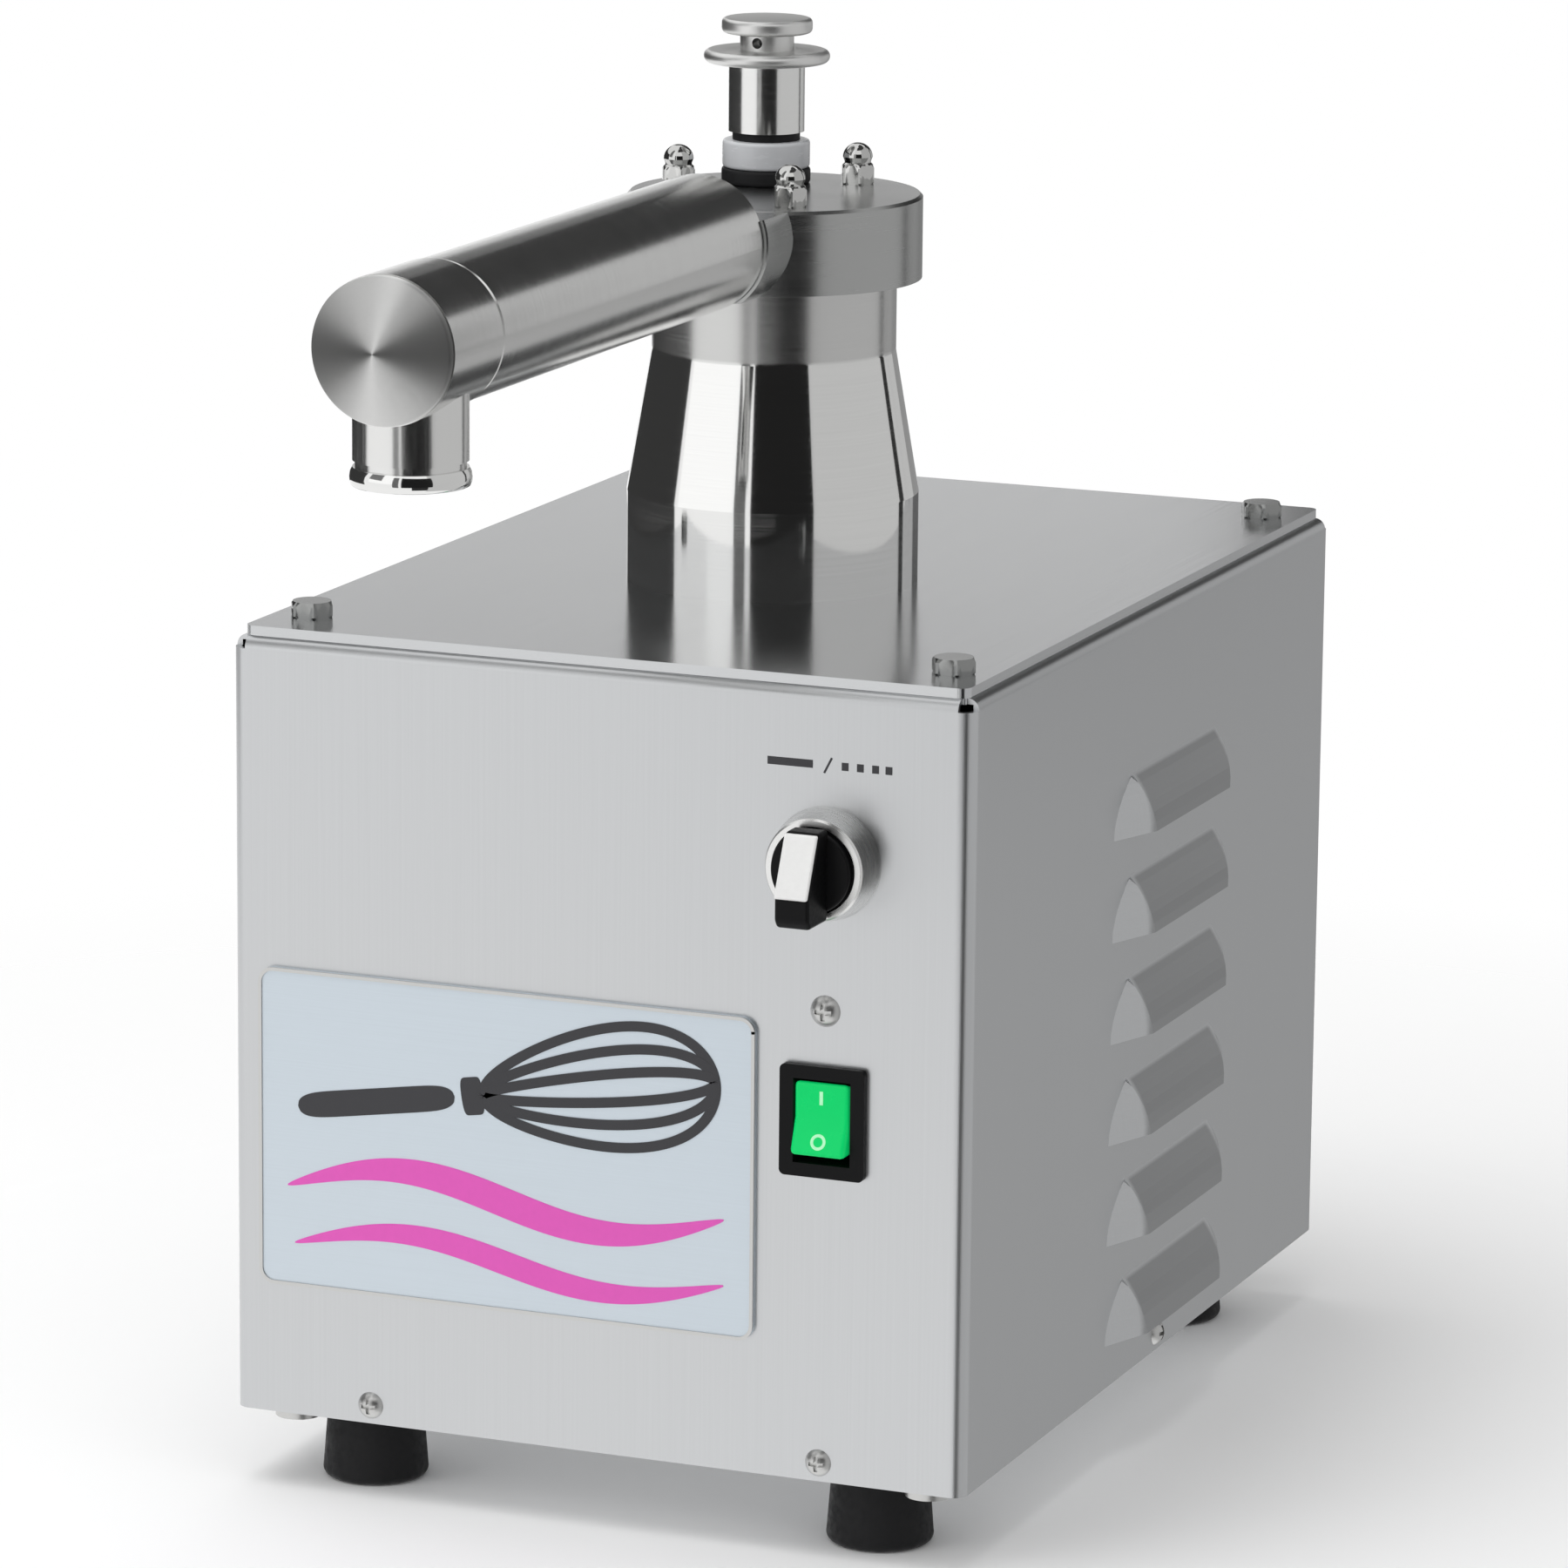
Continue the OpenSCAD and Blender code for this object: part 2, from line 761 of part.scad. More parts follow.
module corner_bolts() {
    tail_z = corner_nut_z - bolt_tail;
    color(zinc) {
        at_places(corner_places, deck) hex_prism(bolt_flats, bolt_head_h);
        at_places(corner_places, tail_z) cylinder(r = bolt_r, h = deck - tail_z);
    }
}

module corner_nuts() {
    color(zinc) at_places(corner_places, corner_nut_z)
        hex_nut(bolt_flats, bolt_r + running_gap, corner_nut_h);
}

module pan_bolts() {
    color(zinc) {
        at_places(pan_bolt_places, foot_h - pan_bolt_head_h)
            cylinder(r = pan_bolt_head_r, h = pan_bolt_head_h);
        at_places(pan_bolt_places, foot_h - pan_bolt_head_h)
            cylinder(r = pan_bolt_r, h = pan_bolt_head_h + wall + pan_bolt_tail);
    }
}

module shell_screws() {
    color(zinc) at_shell_screws()
        pan_screw(shell_screw_head_r, shell_screw_head_h, shell_screw_r, shell_screw_len);
}

// Selector and power switch

module selector_bezel() {
    color(polished) on_front(control_x, selector_z)
        rotate_extrude() polygon([
            [barrel_r + running_gap, 0], [bezel_r, 0], [bezel_r, bezel_base],
            [barrel_r + bezel_lip, bezel_out], [barrel_r + running_gap, bezel_out]
        ]);
}

module selector_body() {
    color(black_plastic) on_front(control_x, selector_z) difference() {
        union() {
            translate([0, 0, -barrel_in]) cylinder(r = barrel_r, h = barrel_in + bezel_out);
            translate([0, 0, -barrel_in - contact_depth / 2])
                cube([contact_size, contact_size, contact_depth], center = true);
        }
        translate([0, 0, -barrel_in])
            cylinder(r = knob_stem_r + running_gap, h = barrel_in + bezel_out + cut);
    }
}

module selector_nut() {
    color(zinc) on_front(control_x, selector_z)
        translate([0, 0, -wall - selector_nut_t])
            tube(selector_nut_r, barrel_r + running_gap, selector_nut_t);
}

// The handle's side view: y up along the panel, z out of the knob's disc
module handle_section() {
    polygon([
        [-handle_bite, handle_up], [handle_top_t, handle_up], [handle_t, marker_low],
        [handle_t, handle_end_r - handle_down], [handle_t - handle_end_r, -handle_down],
        [-handle_bite, -handle_down]
    ]);
}

// The white plate's side view, on the handle's sloping front
module marker_section() {
    slope = (handle_t - handle_top_t) / (handle_up - marker_low);
    top = handle_up - marker_inset;
    top_z = handle_top_t + slope * marker_inset;
    polygon([
        [top_z, top], [top_z + marker_t, top], [handle_t + marker_t, marker_low], [handle_t, marker_low]
    ]);
}

// Stands a side view up on the panel and gives it a width
module across_panel(w) {
    rotate([0, -90, 0]) linear_extrude(w, center = true) children();
}

knob_front = bezel_out + moving_gap + knob_disc_t;

module selector_knob() {
    color(black_plastic) on_front(control_x, selector_z) {
        translate([0, 0, face_gap - barrel_in])
            cylinder(r = knob_stem_r, h = barrel_in + bezel_out + moving_gap);
        translate([0, 0, bezel_out + moving_gap]) cylinder(r = knob_r, h = knob_disc_t);
        translate([0, 0, knob_front]) across_panel(handle_w) handle_section();
    }
}

module selector_marker() {
    color([0.90, 0.90, 0.88]) on_front(control_x, selector_z)
        translate([0, 0, knob_front]) across_panel(handle_w - 2 * marker_inset) marker_section();
}

// The rocker's outline in section, with its pivot at the origin: x out of the panel, y up
module rocker_section() {
    polygon([
        [rocker_dish, 0], [rocker_end, rocker_h / 2], [-rocker_back, rocker_h / 2 - rocker_taper],
        [-rocker_back, -rocker_h / 2 + rocker_taper], [rocker_end, -rocker_h / 2]
    ]);
    circle(rocker_hub_r);
}

module rocker_pins(r, length) {
    rotate([0, 90, 0]) cylinder(r = r, h = length, center = true);
}

module switch_frame() {
    color(black_plastic) on_front(control_x, switch_z) difference() {
        union() {
            rounded_block(switch_w, switch_h, switch_corner_r, switch_bezel_t);
            translate([0, 0, -switch_depth / 2])
                cube([switch_w - 2 * switch_lug, switch_h - 2 * switch_lug, switch_depth], center = true);
        }
        translate([0, 0, (switch_bezel_t + cut - switch_cavity) / 2])
            cube([opening_w, opening_h, switch_bezel_t + cut + switch_cavity], center = true);
        translate([0, 0, -pivot_in])
            rocker_pins(pivot_r + running_gap, rocker_w + 2 * (pivot_len + face_gap));
    }
}

module rocker() {
    color([0.05, 0.45, 0.20]) on_front(control_x, switch_z) translate([0, 0, -pivot_in]) {
        rotate([-rocker_tilt, 0, 0]) across_panel(rocker_w) rocker_section();
        rocker_pins(pivot_r, rocker_w + 2 * pivot_len);
    }
}

module panel_screw() {
    color(zinc) on_front(control_x, panel_screw_z)
        pan_screw(panel_screw_head_r, panel_screw_head_h, panel_screw_r, panel_screw_len);
}

module panel_nut() {
    color(zinc) on_front(control_x, panel_screw_z)
        translate([0, 0, -2 * wall - panel_nut_h])
            hex_nut(panel_nut_flats, panel_screw_r + running_gap, panel_nut_h);
}

board_low = panel_screw_z - bracket_h / 2;

module board_bracket() {
    flange_w = control_x + panel_screw_head_r + bracket_margin - bracket_x;
    flange_y = -body_d / 2 + wall;
    color(zinc) difference() {
        union() {
            translate([bracket_x, flange_y, foot_h + panel_screw_z - bracket_flange_h / 2])
                cube([flange_w, wall, bracket_flange_h]);
            translate([bracket_x, flange_y, foot_h + board_low]) cube([wall, bracket_len, bracket_h]);
        }
        on_front(control_x, panel_screw_z)
            translate([0, 0, -2 * wall - cut]) cylinder(r = panel_screw_r + screw_gap, h = 2 * wall + cut);
    }
}

module control_board() {
    board_x = bracket_x - board_gap - board_t;
    board_y = -body_d / 2 + 2 * wall + board_margin;
    board_len = bracket_len - 2 * board_margin;
    board_h = bracket_h - 2 * board_margin;
    color([0.10, 0.35, 0.18]) translate([board_x, board_y, foot_h + board_low + board_margin]) {
        cube([board_t, board_len, board_h]);
        for (y = [board_margin, board_len - board_margin], z = [board_margin, board_h - board_margin])
            translate([board_t, y, z]) rotate([0, 90, 0]) cylinder(r = board_post_r, h = board_gap);
        translate([-relay_h, board_len / 2, board_h / 2]) cube([relay_h, relay_w, relay_len]);
    }
}

// Column and pump

module column() {
    color(polished) on_column(0) difference() {
        rotate_extrude() polygon([
            [column_bore_r, deck], [base_r, deck], [base_r, deck + base_h],
            [neck_r, neck_bottom], [neck_r, neck_top], [column_bore_r, neck_top]
        ]);
        translate([0, 0, deck - cut]) cylinder(r = bearing_r, h = bearing_h + cut);
        translate([0, 0, neck_top - bearing_h]) cylinder(r = bearing_r, h = bearing_h + cut);
        translate([-column_x, -column_y, 0]) at_column_screws(deck - cut)
            cylinder(r = column_screw_r + running_gap, h = column_screw_bite + 2 * cut);
    }
}

module column_screws() {
    color(zinc) at_column_screws(shell_top) {
        translate([0, 0, -column_screw_head_h]) cylinder(r = column_screw_head_r, h = column_screw_head_h);
        cylinder(r = column_screw_r, h = plate_t + column_screw_bite);
    }
}

module lower_bearing() {
    color(zinc) on_column(deck) tube(bearing_r, shaft_r + running_gap, bearing_h);
}

module upper_bearing() {
    color(zinc) on_column(neck_top - bearing_h) tube(bearing_r, shaft_r + running_gap, bearing_h);
}

module shaft_seal() {
    color(dark_rubber) on_column(neck_top) tube(seal_r, shaft_r + running_gap, pump_floor_t - face_gap);
}

// Takes the arm: round like the tube, and as high as the pump head
module arm_boss() {
    intersection() {
        on_column(arm_z) rotate([90, 0, 0]) cylinder(r = boss_r, h = root_reach);
        translate([column_x - boss_r, column_y - root_reach, neck_top])
            cube([2 * boss_r, root_reach, head_h]);
    }
}

module pump_head() {
    color(polished) difference() {
        union() {
            on_column(neck_top) cylinder(r = head_r, h = lid_bottom - neck_top);
            arm_boss();
        }
        on_column(lid_bottom) cylinder(r = head_r + moving_gap, h = lid_t + cut);
        on_column(neck_top - cut) cylinder(r = seal_r, h = pump_floor_t + 2 * cut);
        on_column(chamber_floor) cylinder(r = chamber_r, h = chamber_h + cut);
        on_idler(chamber_floor) cylinder(r = chamber_r, h = chamber_h + cut);
        on_idler(chamber_floor - idler_bite) cylinder(r = idler_r, h = idler_bite + cut);
        on_column(lid_bottom - stud_bite) at_places(stud_places, 0)
            cylinder(r = stud_r + running_gap, h = stud_bite + cut);
        on_column(port_z) translate([outlet_port_x, 0, 0])
            rotate([90, 0, 0]) cylinder(r = port_r, h = root_reach + cut);
        on_column(port_z) translate([outlet_port_x, spigot_len - root_reach + face_gap, 0])
            rotate([90, 0, 0]) cylinder(r = spigot_r + running_gap, h = spigot_len + cut);
        on_column(port_z) translate([suction_x, 0, 0])
            rotate([-90, 0, 0]) cylinder(r = suction_bore_r, h = head_r);
        on_column(port_z) translate([suction_x, suction_seat, 0])
            rotate([-90, 0, 0]) cylinder(r = suction_r - suction_step, h = head_r);
        on_valve(port_z) cylinder(r = air_duct_r, h = lid_bottom - port_z + cut);
        on_valve(port_z) rotate([0, 90, 0]) cylinder(r = air_duct_r, h = suction_x - valve_place[0]);
    }
}

// Depth of the suction nozzle's seat behind the column's axis
suction_seat = sqrt(head_r * head_r - pow(abs(suction_x) + suction_r, 2)) - suction_bite;

module suction_nozzle() {
    shoulder = head_r + face_gap;
    color(polished) on_column(port_z) translate([suction_x, 0, 0]) rotate([-90, 0, 0]) {
        translate([0, 0, suction_seat])
            tube(suction_r - suction_step, suction_bore_r, head_r - suction_seat + cut);
        translate([0, 0, shoulder]) tube(suction_r, suction_bore_r, suction_out);
    }
}

module pump_lid() {
    color(polished) on_column(lid_bottom) difference() {
        rotate_extrude() polygon([
            [0, 0], [head_r, 0], [head_r, lid_t - lid_chamfer], [head_r - lid_chamfer, lid_t], [0, lid_t]
        ]);
        at_places(stud_places, -cut) cylinder(r = stud_r + screw_gap, h = lid_t + 2 * cut);
        translate(valve_place) translate([0, 0, lid_web - face_gap])
            cylinder(r = stem_r + running_gap, h = stem_bite + face_gap + cut);
        translate(valve_place) translate([0, 0, -cut]) cylinder(r = air_bore_r, h = lid_t + 2 * cut);
    }
}

module lid_studs() {
    length = stud_bite + lid_t + cap_nut_h;
    color(zinc) on_column(lid_bottom - stud_bite)
        at_places(stud_places, 0) cylinder(r = stud_r, h = length);
}

module cap_nuts() {
    color(polished) on_column(head_top) at_places(stud_places, 0) difference() {
        union() {
            hex_prism(cap_nut_flats, cap_nut_h);
            translate([0, 0, cap_nut_h]) sphere(cap_nut_dome_r);
        }
        translate([0, 0, -2 * cap_nut_h]) cylinder(r = cap_nut_flats, h = 2 * cap_nut_h);
        cylinder(r = stud_r + running_gap, h = cap_nut_h + running_gap);
    }
}

module idler_pin() {
    length = idler_bite + chamber_h - face_gap;
    color(zinc) on_idler(chamber_floor - idler_bite) cylinder(r = idler_r, h = length);
}

module driven_gear() {
    color([0.88, 0.88, 0.84]) on_idler(chamber_floor + face_gap)
        pump_gear(idler_turn + 180 + 180 / gear_teeth, idler_r + running_gap);
}

module drive_gear() {
    color([0.88, 0.88, 0.84]) on_column(chamber_floor + face_gap) pump_gear(idler_turn, shaft_r);
}

// Drive

module drive_shaft() {
    top = lid_bottom - face_gap;
    color(zinc) on_column(shaft_joint) cylinder(r = shaft_r, h = top - shaft_joint);
}

module coupling() {
    color(motor_grey) on_column(shaft_joint - coupling_len / 2) difference() {
        cylinder(r = coupling_r, h = coupling_len);
        translate([0, 0, -cut]) cylinder(r = motor_shaft_r, h = coupling_len / 2 + cut);
        translate([0, 0, coupling_len / 2]) cylinder(r = shaft_r, h = coupling_len / 2 + cut);
    }
}

module motor_posts() {
    color(zinc) at_posts(motor_top) cylinder(r = post_r, h = post_len);
}

module motor_top_cover() {
    color(motor_grey) on_column(can_top) difference() {
        union() {
            cylinder(r = motor_r, h = motor_flange_t);
            translate([0, 0, motor_flange_t - motor_rim_t])
                cylinder(r = post_reach + motor_flange_lip, h = motor_rim_t);
        }
        translate([0, 0, -cut]) cylinder(r = motor_shaft_r + running_gap, h = motor_flange_t + 2 * cut);
    }
}

module motor_can() {
    color(motor_grey) on_column(can_bottom) tube(motor_r, stator_r, motor_len);
}

module motor_bottom_cover() {
    color(motor_grey) on_column(motor_bottom) tube(motor_r, motor_shaft_r + running_gap, cover_t);
}

module motor_rotor() {
    tail = fan_top - fan_hub_len - shaft_tail;
    color(zinc) on_column(0) {
        translate([0, 0, can_bottom + rotor_end_gap])
            cylinder(r = stator_r - rotor_gap, h = motor_len - 2 * rotor_end_gap);
        translate([0, 0, tail]) cylinder(r = motor_shaft_r, h = shaft_joint - tail);
    }
}

module fan_wheel() {
    fan_root = (motor_shaft_r + fan_hub_r) / 2;
    color(black_plastic) on_column(fan_top - fan_hub_len) difference() {
        union() {
            cylinder(r = fan_hub_r, h = fan_hub_len);
            for (i = [0:fan_blades - 1])
                rotate(i * 360 / fan_blades)
                    translate([fan_root, -fan_blade_t / 2, fan_blade_inset])
                        cube([fan_r - fan_root, fan_blade_t, fan_hub_len - 2 * fan_blade_inset]);
        }
        translate([0, 0, -cut]) cylinder(r = motor_shaft_r, h = fan_hub_len + 2 * cut);
    }
}

module capacitor() {
    color([0.85, 0.86, 0.86]) translate([capacitor_x, capacitor_y, pan_floor])
        cylinder(r = capacitor_r, h = capacitor_h);
}

// Outlet arm

module outlet_tube() {
    port_drop = port_z - arm_z;
    color(polished) along_arm(root_reach) difference() {
        union() {
            rotate_extrude() polygon([
                [0, 0], [tube_r - edge_round, 0], [tube_r, edge_round], [tube_r, tube_len - edge_round],
                [tube_r - edge_round, tube_len], [0, tube_len]
            ]);
            translate([outlet_port_x, port_drop, -spigot_len]) cylinder(r = spigot_r, h = spigot_len + cut);
        }
        translate([0, 0, tube_end_wall]) cylinder(r = tube_bore_r, h = tube_len);
        translate([outlet_port_x, port_drop, -spigot_len - cut])
            cylinder(r = port_r, h = spigot_len + tube_end_wall + 2 * cut);
    }
}

module labyrinth_insert() {
    length = tube_len - tube_end_wall - neck_spigot_len - face_gap;
    pitch = (length - baffle_t) / (baffle_count - 1);
    notch = tube_bore_r / 2;
    color([0.88, 0.88, 0.84]) along_arm(root_reach + tube_end_wall) {
        cylinder(r = baffle_rod_r, h = length);
        for (i = [0:baffle_count - 1])
            translate([0, 0, i * pitch]) rotate(i * 180) difference() {
                cylinder(r = tube_bore_r - baffle_gap, h = baffle_t);
                translate([-tube_bore_r, notch, -cut])
                    cube([2 * tube_bore_r, tube_bore_r, baffle_t + 2 * cut]);
            }
    }
}

module outlet_head() {
    spigot_h = neck_spigot_len + cut;
    color(polished) along_arm(outlet_start) difference() {
        union() {
            rotate_extrude() polygon([
                [0, 0], [outlet_r - edge_round, 0], [outlet_r, edge_round],
                [outlet_r, outlet_len], [0, outlet_len]
            ]);
            translate([0, 0, -neck_spigot_len]) cylinder(r = tube_bore_r - running_gap, h = spigot_h);
            translate([0, 0, spout_at]) rotate([90, 0, 0]) cylinder(r = spout_r, h = spout_len);
        }
        translate([0, 0, -neck_spigot_len - cut])
            cylinder(r = outlet_bore_r, h = outlet_len + neck_spigot_len + 2 * cut);
        translate([0, 0, spout_at]) rotate([90, 0, 0]) cylinder(r = spout_bore_r, h = spout_len + cut);
        translate([0, -spout_len + spout_lip_h + spout_groove_h, spout_at]) rotate([90, 0, 0])
            tube(spout_r + cut, spout_r - spout_groove_depth, spout_groove_h);
    }
}

module end_cap() {
    plug_len = 4;
    color(steel) along_arm(outlet_end) {
        rotate_extrude() polygon([
            [0, -plug_len], [outlet_bore_r, -plug_len], [outlet_bore_r, 0], [outlet_r - edge_round, 0],
            [outlet_r - edge_round / 4, cap_t], [0, cap_t + cap_cone]
        ]);
    }
}

// Air valve

module dark_ring() {
    color(dark_rubber) on_valve(head_top) tube(dark_r, stem_r + screw_gap, dark_h);
}

module clear_ring() {
    color([0.90, 0.91, 0.90]) on_valve(clear_bottom) tube(clear_r, stem_r + screw_gap, clear_h);
}

module sleeve_seal() {
    color(dark_rubber) on_valve(clear_top) tube(sleeve_r - seal_inset, stem_r + screw_gap, sleeve_seal_h);
}

module valve_sleeve() {
    stem_bottom = head_top - stem_bite;
    color(polished) on_valve(0) difference() {
        union() {
            translate([0, 0, sleeve_bottom]) cylinder(r = sleeve_r, h = sleeve_h);
            translate([0, 0, stem_bottom]) cylinder(r = stem_r, h = sleeve_bottom - stem_bottom + cut);
        }
        translate([0, 0, stem_bottom - cut])
            cylinder(r = air_bore_r, h = sleeve_bottom + sleeve_h - stem_bottom + 2 * cut);
    }
}

module valve_wheel() {
    rim_r = wheel_t / 2;
    spigot_h = wheel_spigot_len + cut;
    color(polished) on_valve(wheel_bottom) difference() {
        union() {
            rotate_extrude() {
                square([wheel_r - rim_r, wheel_t]);
                translate([wheel_r - rim_r, rim_r]) circle(rim_r);
            }
            cylinder(r = wheel_neck_r, h = wheel_t + wheel_neck_h);
            translate([0, 0, -wheel_spigot_len]) cylinder(r = air_bore_r - running_gap, h = spigot_h);
        }
        translate([0, 0, -wheel_spigot_len - cut])
            cylinder(r = needle_r + needle_gap, h = wheel_spigot_len + wheel_t + wheel_neck_h + 2 * cut);
        translate([0, 0, wheel_t + wheel_neck_h / 2]) rotate([90, 0, 0])
            cylinder(r = air_hole_r, h = 3 * wheel_neck_r, center = true);
    }
}

module valve_cap() {
    cap_edge = 1;
    color(polished) on_valve(valve_cap_bottom) rotate_extrude() polygon([
        [0, 0], [valve_cap_r - cap_edge / 2, 0], [valve_cap_r, cap_edge / 2],
        [valve_cap_r, valve_cap_h - 1.5 * cap_edge], [valve_cap_r - cap_edge, valve_cap_h - cap_edge / 2],
        [valve_cap_r / 2, valve_cap_h], [0, valve_cap_h]
    ]);
}

module valve_needle() {
    bottom = head_top - lid_t / 2;
    top = wheel_top - needle_rise;
    color(zinc) on_valve(bottom) {
        cylinder(r1 = needle_tip_r, r2 = needle_r, h = needle_tip_h);
        translate([0, 0, needle_tip_h]) cylinder(r = needle_r, h = top - bottom - needle_tip_h);
    }
}

// Cord entry

module cord_gland() {
    collar_t = 5;
    color(black_plastic) on_back(gland_x, gland_z) difference() {
        union() {
            translate([0, 0, -gland_in]) cylinder(r = gland_r, h = gland_in + cut);
            hex_prism(gland_flats, collar_t);
            translate([0, 0, collar_t - cut]) cylinder(r = gland_barrel_r, h = gland_out - collar_t + cut);
        }
        translate([0, 0, -gland_in - cut]) cylinder(r = gland_bore_r, h = gland_in + gland_out + 2 * cut);
    }
}

module gland_nut() {
    color(black_plastic) on_back(gland_x, gland_z)
        translate([0, 0, -wall - gland_nut_t]) hex_nut(gland_flats, gland_r + running_gap, gland_nut_t);
}

placed() housing_shell();
placed() top_plate();
placed() base_pan();
placed() name_plate();
placed() foot(0);  // foot_front_left
placed() foot(1);  // foot_front_right
placed() foot(2);  // foot_rear_left
placed() foot(3);  // foot_rear_right
placed() foot_screws();
placed() foot_nuts();
placed() corner_bolts();
placed() corner_nuts();
placed() pan_bolts();
placed() shell_screws();
placed() selector_bezel();
placed() selector_body();
placed() selector_nut();
placed() selector_knob();
placed() selector_marker();
placed() switch_frame();
placed() rocker();
placed() panel_screw();
placed() panel_nut();
placed() board_bracket();
placed() control_board();
placed() column();
placed() column_screws();
placed() lower_bearing();
placed() upper_bearing();
placed() shaft_seal();
placed() pump_head();
placed() pump_lid();
placed() lid_studs();
placed() cap_nuts();
placed() idler_pin();
placed() driven_gear();
placed() drive_gear();
placed() drive_shaft();
placed() coupling();
placed() motor_posts();
placed() motor_top_cover();
placed() motor_can();
placed() motor_bottom_cover();
placed() motor_rotor();
placed() fan_wheel();
placed() capacitor();
placed() outlet_tube();
placed() labyrinth_insert();
placed() outlet_head();
placed() end_cap();
placed() suction_nozzle();
placed() dark_ring();
placed() clear_ring();
placed() sleeve_seal();
placed() valve_sleeve();
placed() valve_wheel();
placed() valve_cap();
placed() valve_needle();
placed() cord_gland();
placed() gland_nut();
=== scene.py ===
"""Looks of the whipped cream machine: finishes, dressed pieces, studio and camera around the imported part."""

import json
import math

import bmesh
import bpy
import numpy as np
from bpy.props import FloatProperty, FloatVectorProperty, IntProperty, PointerProperty
from bpy.types import Operator, Panel, PropertyGroup
from mathutils import Matrix, Vector


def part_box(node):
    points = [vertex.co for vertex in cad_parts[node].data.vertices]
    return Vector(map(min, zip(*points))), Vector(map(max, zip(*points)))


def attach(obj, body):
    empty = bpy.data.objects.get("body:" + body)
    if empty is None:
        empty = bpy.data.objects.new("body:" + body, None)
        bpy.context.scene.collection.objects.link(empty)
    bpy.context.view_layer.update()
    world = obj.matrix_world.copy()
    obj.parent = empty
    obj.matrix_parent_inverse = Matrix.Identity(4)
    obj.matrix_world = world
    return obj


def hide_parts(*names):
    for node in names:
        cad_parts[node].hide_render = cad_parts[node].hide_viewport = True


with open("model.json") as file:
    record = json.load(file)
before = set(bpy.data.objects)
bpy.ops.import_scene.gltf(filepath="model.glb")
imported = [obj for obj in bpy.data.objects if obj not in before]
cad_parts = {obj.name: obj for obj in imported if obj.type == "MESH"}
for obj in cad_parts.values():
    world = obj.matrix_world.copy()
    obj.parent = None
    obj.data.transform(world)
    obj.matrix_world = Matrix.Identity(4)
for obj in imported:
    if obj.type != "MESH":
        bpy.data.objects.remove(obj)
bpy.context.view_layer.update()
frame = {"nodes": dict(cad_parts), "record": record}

bl_info = {
    "name": "Whipped cream machine",
    "version": (1, 0, 0),
    "blender": (4, 5, 0),
    "location": "View3D > Sidebar > Cream machine",
    "description": "Dresses the packed whipped cream machine with finishes and small pieces",
    "category": "Object",
}

MM = 0.001
FULL_TURN = 2 * math.pi


# Settings


def length(title, text, millimetres):
    """A length property; its default is given in millimetres."""
    return FloatProperty(name=title, description=text, default=millimetres * MM, unit="LENGTH", precision=5)


def angle(title, text, degrees):
    """An angle property; its default is given in degrees."""
    return FloatProperty(name=title, description=text, default=math.radians(degrees), subtype="ANGLE")


def amount(title, text, default):
    """A plain number of zero or more."""
    return FloatProperty(name=title, description=text, default=default, min=0)


def tint(title, text, colour):
    """A colour property with linear red, green and blue."""
    return FloatVectorProperty(
        name=title, description=text, default=colour, size=3, min=0, max=1, subtype="COLOR"
    )


class CreamSizes(PropertyGroup):
    """Sizes of the pieces that are built here, and of the places that the finishes and the painted shade
    follow.
    """

    turned_segments: IntProperty(
        name="Turned segments", description="Facets round a turned piece", default=144, min=24, max=360
    )
    plate_inset: length("Plate inset", "How far the top plate's edge lies inside the housing's side", 2.5)
    # The louvres' faces are where painted shade darkens the sheet steel.
    louvre_back: length("Louvres behind the middle", "From the housing's middle to the louvres' middle", 11)
    louvre_face: length("Louvre face", "Length of a louvre's face without its two ends", 62)
    # The neck is rougher, and its darker tone is painted shade under the pump head.
    neck_height: length("Neck height", "Dull neck of the column below the pump head", 19)
    cap_rim: length("Cap rim", "Straight rim of the arm's end cap", 2.4)
    cap_round: length("Cap round", "Radius on the end cap's edge", 0.7)
    spout_back: length("Spout behind the cap", "From the arm's front rim back to the spout's axis", 14.5)
    stud_circle: length("Stud circle", "Radius of the circle that the pump's cap nuts stand on", 27.1)
    nut_flats: length("Nut flats", "A cap nut's width across flats", 8)
    bolt_flats: length("Bolt flats", "A corner bolt's width across flats", 10)
    ring_round: length("Ring round", "Radius on the edges of the air valve's rings", 1.0)
    valve_cap_round: length("Valve cap round", "Radius on the edges of the air valve's cap", 1.4)
    bezel_bore: length("Bezel bore", "Inner radius of the selector's bezel", 10.7)
    knob_radius: length("Knob radius", "Radius of the selector's disc", 10.4)
    knob_disc: length("Knob disc", "Thickness of the selector's disc", 1.8)
    knob_gap: length("Knob gap", "Gap between the selector's bezel and its disc", 0.3)
    handle_width: length("Handle width", "Width of the selector's handle", 9)
    marker_width: length("Marker width", "Width of the white plate on the handle", 8.6)
    rocker_width: length("Rocker width", "Width of the rocker", 14.6)
    rocker_half: length("Rocker half height", "From the rocker's middle to its end", 9.4)
    rocker_dish: length("Rocker dish", "From the rocker's pivot out to its dished middle", 5.2)
    rocker_pivot: length("Rocker pivot", "Depth of the rocker's pivot behind the panel", 3)
    rim_width: length("Rim width", "Width of the name plate's raised edge", 0.9)
    rim_inset: length("Rim inset", "From the name plate's outline to the middle of its raised edge", 0.4)
    rim_corner: length("Rim corner", "Corner radius of the name plate's raised edge", 3.6)
    rim_height: length("Rim height", "Height of the name plate's raised edge", 0.35)
    signs_above: length("Signs above", "From the selector's axis up to its signs", 24.5)


